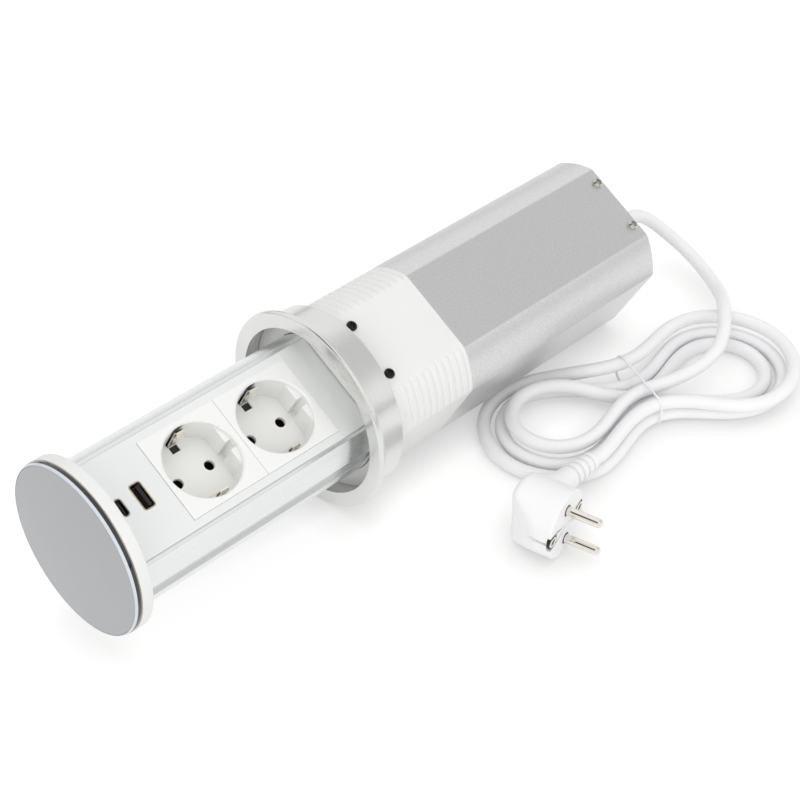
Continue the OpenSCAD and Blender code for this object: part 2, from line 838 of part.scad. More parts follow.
function hank_line(steps) = [for (i = [0 : hank_half_turns * steps]) hank_point(i / steps)];
hank_path = concat(hank_line(rings_per_half), tail);

// Least gap of the hank to itself, between points that are far apart along it
fine = 4 * rings_per_half;
fine_line = hank_line(fine);
apart = fine * 0.6;
self_gap = min([for (i = [0 : len(fine_line) - 1 - apart], j = [i + apart : len(fine_line) - 1])
    norm(fine_line[i] - fine_line[j])]) - cord_d;
echo(hank_least_gap = self_gap);

function to_row(p) = [
    hank_at[0] + p[0] * cos(hank_turn) - p[1] * sin(hank_turn),
    hank_at[1] + p[0] * sin(hank_turn) + p[1] * cos(hank_turn),
    p[2]
];

grip_end = axis_point(plate_z - grip_len);
hank_start = to_row(hank_point(0));
hank_dir = to_row([-1, 0, 0]) - to_row([0, 0, 0]);
lead_path = concat(
    [grip_end, grip_end - cord_d * axis_dir()], lead_points, [hank_start - cord_d * hank_dir, hank_start]
);

function unit(v) = v / norm(v);

// Direction of a path at its point i
function along(path, i) = unit(path[min(i + 1, len(path) - 1)] - path[max(i - 1, 0)]);

// Points of a ring of the tube, square to the path
function ring(p, t, r, sides) =
    let (s = unit(cross(t, [0, 0, 1])), n = cross(s, t))
    [for (k = [0 : sides - 1]) p + r * (cos(360 * k / sides) * s + sin(360 * k / sides) * n)];

// Tube along a path, one ring at each point
module tube(path, d, sides) {
    count = len(path);
    points = [for (i = [0 : count - 1]) each ring(path[i], along(path, i), d / 2, sides)];
    last = (count - 1) * sides;
    walls = [for (i = [0 : count - 2], k = [0 : sides - 1])
        let (a = i * sides + k, b = i * sides + (k + 1) % sides)
            each [[a, b, b + sides], [a, b + sides, a + sides]]];
    ends = [for (k = [1 : sides - 2]) each [[0, k + 1, k], [last, last + k, last + k + 1]]];
    polyhedron(points, concat(walls, ends));
}

module on_hank() translate(hank_at) rotate(hank_turn) children();

module cord_lead() color("white") tube(lead_path, cord_d, lead_sides);
module cord_hank() color("white") on_hank() tube(hank_path, cord_d, hank_sides);

// Wire tie around the waist
module cord_tie() {
    low = -lane(hank_climb - 1) - cord_d / 2 - tie_gap;
    high = lane(hank_climb) + cord_d / 2 + tie_gap;
    top = hank_z(0) + cord_d / 2 + tie_gap;
    bottom = tie_d;
    size = [high - low, top - bottom];
    corner = cord_d / 2;
    color("white") on_hank() translate([-tie_d / 2, (low + high) / 2, (top + bottom) / 2])
        rotate([90, 0, 90]) linear_extrude(tie_d) difference() {
            rounded([size[0] + 2 * tie_d, size[1] + 2 * tie_d], corner + tie_d);
            rounded(size, corner);
        }
}

// Plug frame: +X is the way the pins point, +Y the side that the lead leaves by
module at_plug() translate(plug_at) rotate(plug_turn) children();

module plug_block() {
    back = -plug_depth;
    half = plug_d / 2;
    intersection() {
        rotate([0, -90, 0]) cylinder(r = half, h = plug_depth);
        translate([0, 0, -half]) linear_extrude(plug_d) polygon([
            [0, -half], [0, half], [back + plug_round, half - plug_draft], [back, half - plug_corner],
            [back, -plug_back_low], [-plug_slope, -half]
        ]);
    }
}

module plug_body() {
    hole = plug_pin_d + 2 * fit_gap;
    color("white") at_plug() difference() {
        plug_block();
        for (side = [-1, 1]) {
            translate([
                (over - plug_groove_len) / 2, side * (plug_d / 2 - plug_groove_depth / 2 + over / 2), 0
            ])
                cube([plug_groove_len + over, plug_groove_depth + over, plug_groove_w], center = true);
            translate([-pin_root, 0, side * pin_pitch / 2]) rotate([0, 90, 0])
                cylinder(d = hole, h = pin_root + over);
        }
    }
}

module plug_pins() {
    length = pin_root + plug_pin_len;
    color("silver") at_plug()
        for (side = [-1, 1])
            translate([-pin_root, 0, side * pin_pitch / 2]) rotate([0, 90, 0]) rotate_extrude() polygon([
                [0, 0], [plug_pin_d / 2, 0], [plug_pin_d / 2, length - pin_tip],
                [plug_pin_d / 2 - pin_tip, length], [0, length]
            ]);
}

module plug_earth_clips() {
    floor_y = plug_d / 2 - plug_groove_depth;
    color("silver") at_plug()
        for (side = [-1, 1])
            translate([-strip_gap - strip_len / 2, side * (floor_y + clip_t / 2), 0])
                cube([strip_len, clip_t, plug_groove_w - 2 * strip_gap], center = true);
}

// Ringed boot from the end of the lead into the side of the plug
module plug_boot() {
    tip = to_row(tail[len(tail) - 1]);
    dir = unit(tip - to_row(tail[len(tail) - 2]));
    neck = boot_len - boot_plain;
    pitch = (neck - boot_lip) / boot_grooves;
    function wall_r(s) = boot_tip_d / 2 + (boot_neck_d - boot_tip_d) / 2 * s / neck;
    teeth = [for (i = [0 : boot_grooves - 1], p = [[0, 0], [1, 0.01], [1, 0.99], [0, 1]])
        let (s = boot_lip + i * pitch + p[1] * boot_groove_w)
            [wall_r(s) - p[0] * boot_groove_depth, s]];
    color("white") difference() {
        translate(tip) rotate([0, acos(dir[2]), atan2(dir[1], dir[0])])
            rotate_extrude() polygon(concat(
                [[0, 0], [wall_r(0), 0]], teeth,
                [[wall_r(neck), neck], [boot_base_d / 2, boot_len], [0, boot_len]]
            ));
        at_plug() plug_block();
    }
}

desk_flange();
threaded_sleeve();
guide_ring();
sleeve_screws();
stop_buffer();
housing();
rear_plate();
rear_screws();
cord_grip();
gas_spring_cylinder();
push_latch();
cord_lead();
cord_hank();
cord_tie();
plug_boot();
plug_body();
plug_pins();
plug_earth_clips();
carriage_profile();
face_panel();
socket_module_1();
socket_module_2();
earth_clips_1();
earth_clips_2();
socket_contacts_1();
socket_contacts_2();
contact_carrier_1();
contact_carrier_2();
wide_port_shell();
wide_port_tongue();
oval_port_shell();
oval_port_tongue();
charger_board();
carriage_head();
cap_ring();
cap_band();
cap_bevel();
cap_glass();
cap_screws();
carriage_foot();
latch_striker();
gas_spring_rod();
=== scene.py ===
"""Looks of a raised pop-up desk socket that lies on its side with its lead in a hank.

Sizes are millimetres in the column's own upright frame: Z runs towards the cap, Z = 0 is the
underside of the desk flange and Y is the normal of the socket face. Frame.place turns them
into metres in the shared frame.
"""

from __future__ import annotations

import json
import logging
import math
from dataclasses import dataclass
from enum import Enum

import bmesh
import bpy
import numpy as np
from mathutils import Matrix, Vector


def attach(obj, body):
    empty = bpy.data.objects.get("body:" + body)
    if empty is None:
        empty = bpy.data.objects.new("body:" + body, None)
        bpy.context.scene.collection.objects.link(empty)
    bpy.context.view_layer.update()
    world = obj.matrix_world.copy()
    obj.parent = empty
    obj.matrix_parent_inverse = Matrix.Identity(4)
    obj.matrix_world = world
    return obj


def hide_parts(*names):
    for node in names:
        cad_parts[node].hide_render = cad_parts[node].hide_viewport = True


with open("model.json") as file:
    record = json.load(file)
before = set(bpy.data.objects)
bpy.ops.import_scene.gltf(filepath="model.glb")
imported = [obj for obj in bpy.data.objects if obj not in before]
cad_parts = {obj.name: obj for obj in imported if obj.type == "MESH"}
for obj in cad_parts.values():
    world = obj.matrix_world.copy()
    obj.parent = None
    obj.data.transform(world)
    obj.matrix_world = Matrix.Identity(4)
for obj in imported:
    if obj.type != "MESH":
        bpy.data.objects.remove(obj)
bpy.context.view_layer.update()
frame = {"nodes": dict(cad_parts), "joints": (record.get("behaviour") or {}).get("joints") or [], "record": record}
LOG = logging.getLogger("desk_socket")
MM = 0.001
HOUSING = "housing"
CARRIAGE = "carriage"

# Points that lie closer than this count as one, and shorter edges are dropped
SAME_POINT = 1e-6
LEAST_EDGE = 1e-7
# A length that keeps a division safe
TINY = 1e-9
# A path is steep where its unit direction rises by more than this
STEEP = 0.9

WHITE_LIGHT = (1, 1, 1, 1)

# Layers of detail in the noise of a grain and of slow patches, and the grain's part in the colour
GRAIN_DETAIL = 3.0
PATCH_DETAIL = 2.0
GRAIN_SHARE = 0.5
# The stretches of noise that become the whole change of colour and of roughness
COLOUR_RANGE = (0.45, 1.05)
GRAIN_RANGE = (0.3, 0.7)
LEAST_ROUGHNESS = 0.02


def unit(vector: np.ndarray) -> np.ndarray:
    """Return the vectors of the last axis at length 1."""
    return vector / np.linalg.norm(vector, axis=-1, keepdims=True)


@dataclass(frozen=True)
class Frame:
    """A frame of millimetres: its origin in metres and its three unit axes as rows."""

    origin: np.ndarray
    axes: np.ndarray

    def place(self, points: np.ndarray) -> np.ndarray:
        """Turn points of this frame, in millimetres, into metres of the shared frame."""
        return self.origin + np.asarray(points, float) * MM @ self.axes

    def turn(self) -> tuple:
        """Return the frame's rotation as Euler angles, for patterns that follow its axes."""
        return tuple(Matrix(self.axes.T.tolist()).to_euler())


def upright_turn(degrees: float) -> np.ndarray:
    """Return the axes of a frame that is turned about Z, one a row."""
    angle = math.radians(degrees)
    cos, sin = math.cos(angle), math.sin(angle)
    return np.array([[cos, sin, 0], [-sin, cos, 0], [0, 0, 1]])


def column_frame(record: dict, joints: list) -> Frame:
    """Find the column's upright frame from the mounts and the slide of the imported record.

    Args:
        record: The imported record, with its mounts.
        joints: The joints of the record; the first is the slide of the column.

    Returns:
        The frame of the column.
    """
    mounts = {mount["name"]: mount for mount in record["mounts"]}
    collar = mounts["desk_collar"]
    down = unit(np.array(joints[0]["axis"], float))
    origin = np.array(collar["pos_m"], float) - collar["dims"]["length_mm"] / 2 * MM * down
    across = unit(np.array(mounts["flange_underside"]["pos_m"], float) - origin)
    return Frame(origin, np.stack([across, np.cross(-down, across), -down]))


COLUMN = column_frame(frame["record"], frame["joints"])


def linear(code: str) -> tuple:
    """Turn an sRGB hex colour into linear red, green, blue and alpha."""
    srgb = np.array([int(code[i : i + 2], 16) for i in (1, 3, 5)]) / 255
    rgb = np.where(srgb <= 0.04045, srgb / 12.92, ((srgb + 0.055) / 1.055) ** 2.4)
    return (*rgb.tolist(), 1.0)


def add_node(
    tree: bpy.types.NodeTree, kind: str, settings: dict | None = None, links: dict | None = None
) -> bpy.types.Node:
    """Add a node with its settings and links.

    Args:
        tree: The node tree that gets the node.
        kind: Blender's name of the node.
        settings: Values by attribute name, or by the name or number of an input.
        links: Output sockets by the name or number of the input that they feed.

    Returns:
        The new node.
    """
    node = tree.nodes.new(kind)
    for key, value in (settings or {}).items():
        if isinstance(key, int) or key in node.inputs:
            node.inputs[key].default_value = value
        else:
            setattr(node, key, value)
    for key, socket in (links or {}).items():
        tree.links.new(socket, node.inputs[key])
    return node


@dataclass(frozen=True)
class Finish:
    """A surface finish: its colour, gloss and the grain that its making leaves.

    grain holds the size of a grain across, up and along the column in millimetres, so a
    brushed finish has one long side. depth is the height of that grain, patch the size of the
    slow changes of colour between colour and tint, and spread the change of roughness.
    """

    name: str
    slot: str
    colour: str
    tint: str
    roughness: float
    grain: tuple
    depth: float
    patch: float = 30.0
    spread: float = 0.05
    metallic: float = 0.0
    ior: float = 1.5
    coat: float = 0.0

    def noise(
        self, tree: bpy.types.NodeTree, size: tuple, detail: float
    ) -> bpy.types.NodeSocket:
        """Add noise that follows the column's axes.

        Args:
            tree: The material's node tree.
            size: The size of a patch across, up and along the column in millimetres.
            detail: The layers of detail.

        Returns:
            The socket with the noise.
        """
        spot = add_node(tree, "ShaderNodeTexCoord").outputs["Object"]
        turned = {
            "vector_type": "TEXTURE",
            "Rotation": COLUMN.turn(),
            "Scale": tuple(part * MM for part in size),
        }
        place = add_node(tree, "ShaderNodeMapping", turned, {"Vector": spot}).outputs[0]
        layers = {"Scale": 1.0, "Detail": detail}
        return add_node(tree, "ShaderNodeTexNoise", layers, {"Vector": place}).outputs[0]

    def material(self) -> bpy.types.Material:
        """Return the material, made on its first use."""
        found = bpy.data.materials.get(self.name)
        if found:
            return found
        made = bpy.data.materials.new(self.name)
        made.use_nodes = True
        tree = made.node_tree
        tree.nodes.clear()
        grain = self.noise(tree, self.grain, GRAIN_DETAIL)
        patch = self.noise(tree, (self.patch,) * 3, PATCH_DETAIL)
        both = add_node(
            tree,
            "ShaderNodeMath",
            {"operation": "MULTIPLY_ADD", 1: GRAIN_SHARE},
            {0: grain, 2: patch},
        )
        share = add_node(
            tree,
            "ShaderNodeMapRange",
            {"From Min": COLOUR_RANGE[0], "From Max": COLOUR_RANGE[1]},
            {"Value": both.outputs[0]},
        )
        colour = add_node(
            tree,
            "ShaderNodeMix",
            {"data_type": "RGBA", 6: linear(self.colour), 7: linear(self.tint)},
            {0: share.outputs[0]},
        )
        rough = add_node(
            tree,
            "ShaderNodeMapRange",
            {
                "From Min": GRAIN_RANGE[0],
                "From Max": GRAIN_RANGE[1],
                "To Min": max(self.roughness - self.spread, LEAST_ROUGHNESS),
                "To Max": self.roughness + self.spread,
            },
            {"Value": grain},
        )
        bump = add_node(
            tree,
            "ShaderNodeBump",
            {"Strength": 1.0, "Distance": self.depth * MM},
            {"Height": grain},
        )
        shader = add_node(
            tree,
            "ShaderNodeBsdfPrincipled",
            {"Metallic": self.metallic, "IOR": self.ior, "Coat Weight": self.coat},
            {
                "Base Color": colour.outputs[2],
                "Roughness": rough.outputs[0],
                "Normal": bump.outputs[0],
            },
        )
        add_node(tree, "ShaderNodeOutputMaterial", links={"Surface": shader.outputs[0]})
        return made


class Finishes(Enum):
    """The finishes of the object, each named for its material and how it was made."""

    # Brushed and clear anodised aluminium: fine straight lines under a warm grey sheen
    FLANGE = Finish(
        "brushed_anodised_aluminium", "brushed_aluminium", "#E5E5E3", "#DDDDDB",
        roughness=0.24, grain=(7, 0.15, 0.15), depth=0.0006, metallic=0.9,
    )
    # Bead-blasted aluminium extrusion: satin, with a fine even grain that shows close up
    HOUSING = Finish(
        "blasted_aluminium", "anodised_aluminium", "#E4E4E4", "#D0D0D0",
        roughness=0.34, grain=(0.35, 0.35, 0.35), depth=0.003, metallic=0.9, patch=0.9,
    )
    # Pale drawn aluminium: very faint lines along the column from the die
    CARRIAGE = Finish(
        "drawn_pale_aluminium", "pale_aluminium", "#E9EBEB", "#E5E7E7",
        roughness=0.26, grain=(0.5, 0.5, 60), depth=0.00005, metallic=0.85, spread=0.02,
    )
    # Satin anodised sheet of the socket face: pale and even
    PANEL = Finish(
        "satin_anodised_sheet", "pale_aluminium", "#EEF0EF", "#EBEDEC",
        roughness=0.42, grain=(0.4, 0.4, 0.4), depth=0.0006, metallic=0.25, spread=0.03,
    )
    # Moulded white ABS: even and satin, with the faint mould grain
    WHITE = Finish(
        "moulded_white_abs", "white_plastic", "#EAEAE9", "#E7E7E6",
        roughness=0.4, grain=(0.5, 0.5, 0.5), depth=0.002,
    )
    # Moulded white polycarbonate of the sockets: harder and a little glossier
    SOCKET = Finish(
        "moulded_white_polycarbonate", "socket_plastic", "#F0F0EE", "#EDEDEB",
        roughness=0.3, grain=(0.4, 0.4, 0.4), depth=0.001,
    )
    # Moulded grey nylon of the rear plate and of the carriage's head and foot
    GREY = Finish(
        "moulded_grey_nylon", "grey_plastic", "#C4C6C6", "#BCBFBF",
        roughness=0.5, grain=(0.6, 0.6, 0.6), depth=0.006,
    )
    # Moulded black nylon of tongues, carriers and latch
    DARK = Finish(
        "moulded_black_nylon", "dark_plastic", "#121316", "#191B1E",
        roughness=0.45, grain=(0.5, 0.5, 0.5), depth=0.003,
    )
    # Black bevel, lacquered and polished: a deep blue-black gloss
    BEVEL = Finish(
        "polished_black_lacquer", "bevel_black", "#14171D", "#1B2029",
        roughness=0.12, grain=(3, 3, 3), depth=0.0003, coat=0.6,
    )
    # Polished glass, lacquered grey on its back: quite even
    GLASS = Finish(
        "grey_backed_glass", "grey_glass", "#A4A5A8", "#A2A3A6",
        roughness=0.12, grain=(8, 8, 8), depth=0.0002, patch=60.0, spread=0.01,
    )
    # Ground edge of the glass disc, pale and a little blue: partly a painted highlight for the light line along
    # the edge
    EDGE = Finish(
        "ground_edge_with_painted_highlight", "grey_glass", "#D5DBE0", "#C9D0D6",
        roughness=0.2, grain=(3, 3, 3), depth=0.0003,
    )
    # Satin metal band between the cap's ring and bevel
    BAND = Finish(
        "satin_metal_band", "band_grey", "#A89C8E", "#B5AA9D",
        roughness=0.3, grain=(4, 0.2, 0.2), depth=0.001, metallic=0.9,
    )
    # Zinc-plated steel of screws and rods: bright, with fine turning marks
    STEEL = Finish(
        "plated_steel", "steel", "#CFCDC8", "#BEBBB4",
        roughness=0.2, grain=(0.6, 0.2, 0.2), depth=0.002, metallic=1.0,
    )
    # Rolled spring steel of the earth clips, tinned: smooth and bright
    CLIP = Finish(
        "tinned_spring_steel", "nickel", "#EFEAE2", "#E6E0D6",
        roughness=0.22, grain=(2, 2, 2), depth=0.0005, metallic=1.0,
    )
    # Black oxide steel of the sleeve screws
    BLACK_STEEL = Finish(
        "black_oxide_steel", "black_steel", "#141415", "#1D1D1E",
        roughness=0.34, grain=(0.4, 0.4, 0.4), depth=0.003, metallic=0.4,
    )
    # Nickel-plated brass of the plug's pins and earth contacts: smooth and bright
    NICKEL = Finish(
        "nickel_plated_brass", "nickel", "#EFEAE2", "#E7E1D8",
        roughness=0.1, grain=(3, 3, 3), depth=0.00002, spread=0.02, metallic=1.0,
    )
    # Tinned bronze of the port shells: a warm coppery sheen
    BRONZE = Finish(
        "tinned_bronze", "steel", "#DCC8B4", "#D2BBA5",
        roughness=0.25, grain=(2, 2, 2), depth=0.0005, metallic=1.0,
    )
    # Bare brass of the contacts, its colour darkened as painted shade for their place in the holes
    BRASS = Finish(
        "drawn_brass_painted_shade", "brass", "#8F7148", "#7E6340",
        roughness=0.35, grain=(0.4, 0.4, 3), depth=0.002, metallic=1.0,
    )
    # Black rubber of the stop
    RUBBER = Finish(
        "moulded_black_rubber", "buffer_rubber", "#232323", "#2B2B2B",
        roughness=0.7, grain=(0.5, 0.5, 0.5), depth=0.02,
    )
    # Green solder mask over glass fibre
    BOARD = Finish(
        "solder_mask_board", "board", "#1F5A36", "#28683F",
        roughness=0.4, grain=(0.8, 0.8, 0.8), depth=0.004,
    )
    # White PVC of the lead, its boot and the plug's body: satin, softly marked
    CORD = Finish(
        "extruded_white_pvc", "cord_white", "#F4F4F5", "#F0F0F1",
        roughness=0.42, grain=(0.6, 0.6, 0.6), depth=0.002,
    )


CAD_FINISHES = {
    Finishes.FLANGE: ["desk_flange"],
    Finishes.HOUSING: ["housing"],
    Finishes.CARRIAGE: ["carriage_profile"],
    Finishes.PANEL: ["face_panel"],
    Finishes.WHITE: ["threaded_sleeve", "guide_ring", "cap_ring", "cord_grip"],
    Finishes.SOCKET: ["socket_module_1", "socket_module_2"],
    Finishes.GREY: ["rear_plate", "carriage_head", "carriage_foot"],
    Finishes.DARK: [
        "push_latch", "wide_port_tongue", "oval_port_tongue",
        "contact_carrier_1", "contact_carrier_2",
    ],
    Finishes.BEVEL: ["cap_bevel"],
    Finishes.GLASS: ["cap_glass"],
    Finishes.BAND: ["cap_band"],
    Finishes.STEEL: [
        "rear_screws", "gas_spring_cylinder", "gas_spring_rod", "latch_striker", "cap_screws",
        "oval_port_shell",
    ],
    Finishes.CLIP: ["earth_clips_1", "earth_clips_2"],
    Finishes.BRONZE: ["wide_port_shell"],
    Finishes.BLACK_STEEL: ["sleeve_screws"],
    Finishes.NICKEL: ["plug_pins", "plug_earth_clips"],
    Finishes.BRASS: ["socket_contacts_1", "socket_contacts_2"],
    Finishes.RUBBER: ["stop_buffer"],
    Finishes.BOARD: ["charger_board"],
    Finishes.CORD: ["cord_lead", "cord_hank", "cord_tie", "plug_boot", "plug_body"],
}


def dress_frame() -> None:
    """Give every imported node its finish."""
    for choice, names in CAD_FINISHES.items():
        for name in names:
            slots = frame["nodes"][name].data.materials
            slots.clear()
            slots.append(choice.value.material())
            LOG.info("dressed %s in %s", name, choice.value.name)


def circle(sides: int) -> np.ndarray:
    """Return evenly spaced angles once round a circle."""
    return np.linspace(0, 2 * math.pi, sides, endpoint=False)


def grid_mesh(
    name: str, points: np.ndarray, around: bool = True, along: bool = False
) -> bpy.types.Object:
    """Make a mesh object from a grid of points.

    Args:
        name: The piece's name.
        points: Rows of points in metres, as an array of rows, columns and 3.
        around: True where the last column joins the first.
        along: True where the last row joins the first.

    Returns:
        The object, smooth, with its doubles merged and its faces outwards.
    """
    rows, columns = points.shape[:2]
    number = np.arange(rows * columns).reshape(rows, columns)
    number = np.concatenate([number, number[:1]]) if along else number
    number = np.concatenate([number, number[:, :1]], axis=1) if around else number
    quads = np.stack([number[:-1, :-1], number[:-1, 1:], number[1:, 1:], number[1:, :-1]], axis=-1)
    mesh = bpy.data.meshes.new(name)
    mesh.from_pydata(points.reshape(-1, 3).tolist(), [], quads.reshape(-1, 4).tolist())
    return finish_mesh(name, mesh)


def finish_mesh(name: str, mesh: bpy.types.Mesh, crease: float = 38.0) -> bpy.types.Object:
    """Merge doubles, turn the faces outwards and shade them smooth up to a crease angle.

    Args:
        name: The piece's name.
        mesh: The mesh to clean.
        crease: The angle in degrees past which an edge stays sharp.

    Returns:
        An object at the origin that is linked into the scene.
    """
    work = bmesh.new()
    work.from_mesh(mesh)
    bmesh.ops.remove_doubles(work, verts=work.verts, dist=SAME_POINT)
    bmesh.ops.dissolve_degenerate(work, edges=work.edges, dist=LEAST_EDGE)
    bmesh.ops.recalc_face_normals(work, faces=work.faces)
    work.to_mesh(mesh)
    work.free()
    mesh.shade_smooth()
    mesh.set_sharp_from_angle(angle=math.radians(crease))
    piece = bpy.data.objects.new(name, mesh)
    bpy.context.scene.collection.objects.link(piece)
    return piece


def settle(piece: bpy.types.Object, body: str, finish: Finishes, *nodes: str) -> bpy.types.Object:
    """Dress a piece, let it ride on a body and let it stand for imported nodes.

    Args:
        piece: The piece to settle.
        body: The body that carries it.
        finish: Its finish.
        nodes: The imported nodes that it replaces.

    Returns:
        The piece.
    """
    piece.data.materials.append(finish.value.material())
    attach(piece, body)
    if nodes:
        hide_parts(*nodes)
    LOG.info("made %s on %s", piece.name, body)
    return piece


def rounded_line(corners: list, closed: bool = True, steps: int = 5) -> np.ndarray:
    """Round the corners of a line.

    A corner of radius r becomes a quadratic curve between the points at distance r before and
    after it, which leaves and joins the straight stretches smoothly.

    Args:
        corners: Tuples of a point's values and, last, its radius.
        closed: True where the line joins its own start.
        steps: Stretches in one corner.

    Returns:
        The points of the rounded line.
    """
    data = np.array(corners, float)
    spot, reach = data[:, :-1], data[:, -1]
    before = np.roll(spot, 1, axis=0)
    after = np.roll(spot, -1, axis=0)
    if not closed:
        before[0], after[-1] = spot[0], spot[-1]
    room_in = np.maximum(np.linalg.norm(before - spot, axis=1), TINY)
    room_out = np.maximum(np.linalg.norm(after - spot, axis=1), TINY)
    back = spot + (before - spot) * (reach / room_in)[:, None]
    ahead = spot + (after - spot) * (reach / room_out)[:, None]
    share = np.linspace(0, 1, steps + 1)[None, :, None]
    curve = (
        (1 - share) ** 2 * back[:, None]
        + 2 * share * (1 - share) * spot[:, None]
        + share**2 * ahead[:, None]
    )
    line = curve.reshape(-1, spot.shape[1])
    keep = np.ones(len(line), bool)
    keep[1:] = np.linalg.norm(np.diff(line, axis=0), axis=1) > SAME_POINT
    return line[keep]


def revolve(
    name: str, profile: np.ndarray, place: Frame = COLUMN, sides: int = 192
) -> bpy.types.Object:
    """Turn a closed profile of radius and height about the Z axis of a frame.

    A point (r, z) becomes the circle (r cos a, r sin a, z).

    Args:
        name: The piece's name.
        profile: Points of radius and height in millimetres.
        place: The frame to turn in.
        sides: Steps round the axis.

    Returns:
        The turned piece.
    """
    angle = circle(sides)
    radius, height = profile[:, :1], profile[:, 1:]
    points = np.stack(
        np.broadcast_arrays(radius * np.cos(angle), radius * np.sin(angle), height), axis=-1
    )
    return grid_mesh(name, place.place(points), along=True)


def block(name: str, low: tuple, high: tuple) -> bpy.types.Object:
    """Make a box between two corners of the column's frame.

    A rectangle across Z is carried from the lower to the upper end and drawn to a point in the
    middle of each.

    Args:
        name: The piece's name.
        low: The corner with the least values, in millimetres.
        high: The corner with the greatest values.

    Returns:
        The box.
    """
    middle = (np.array(low) + np.array(high)) / 2
    half = (np.array(high) - np.array(low)) / 2
    across = np.array([[-1, -1], [1, -1], [1, 1], [-1, 1]])
    spread = np.array([0, 1, 1, 0])[:, None, None] * across
    along = np.array([-1, -1, 1, 1])[:, None, None] * np.ones((1, 4, 1))
    points = middle + half * np.concatenate([spread, along], axis=-1)
    return grid_mesh(name, COLUMN.place(points))


def cut_tube(
    name: str, rows: np.ndarray, sharp: float, sides: int = 360
) -> bpy.types.Object:
    """Make a closed shell whose sections are circles cut by four flats.

    A section of radius R and flats at h follows 1/r^n = 1/R^n + (|cos a|/h)^n + (|sin a|/h)^n,
    which is the smaller of circle and flat with their edge rounded; n sets how crisp it is.

    Args:
        name: The piece's name.
        rows: Radius, half width over the flats and height of each section, in a closed order.
        sharp: The exponent n.
        sides: Steps round the axis.

    Returns:
        The shell.
    """
    angle = circle(sides)
    radius, half, height = rows[:, :1], rows[:, 1:2], rows[:, 2:]
    ratio = radius / half
    flats = (ratio * np.abs(np.cos(angle))) ** sharp + (ratio * np.abs(np.sin(angle))) ** sharp
    reach = radius * (1 + flats) ** (-1 / sharp)
    points = np.stack(
        np.broadcast_arrays(reach * np.cos(angle), reach * np.sin(angle), height), axis=-1
    )
    return grid_mesh(name, COLUMN.place(points), along=True)


@dataclass
class Flange:
    """The desk flange with its collar, turned from one bar."""

    outer: float = 54.0
    face: float = 3.0
    bore: float = 45.5
    collar: float = 49.25
    collar_end: float = -16.5
    collar_in: float = 47.15
    land: float = -1.0
    rim: float = 1.0
    rim_round: float = 0.7
    collar_round: float = 0.5
    edge_round: float = 0.4
    land_round: float = 0.3
    sides: int = 288

    def build(self) -> None:
        """Turn the flange, with a soft rim."""
        profile = rounded_line([
            (self.bore, self.face, self.edge_round),
            (self.outer - self.rim, self.face, self.rim_round),
            (self.outer, self.face - self.rim, self.rim_round),
            (self.outer, 0, self.edge_round),
            (self.collar, 0, self.collar_round),
            (self.collar, self.collar_end, self.collar_round),
            (self.collar_in, self.collar_end, self.edge_round),
            (self.collar_in, self.land, self.land_round),
            (self.bore, self.land, self.land_round),
        ])
        flange = revolve("flange", profile, sides=self.sides)
        settle(flange, HOUSING, Finishes.FLANGE, "desk_flange")


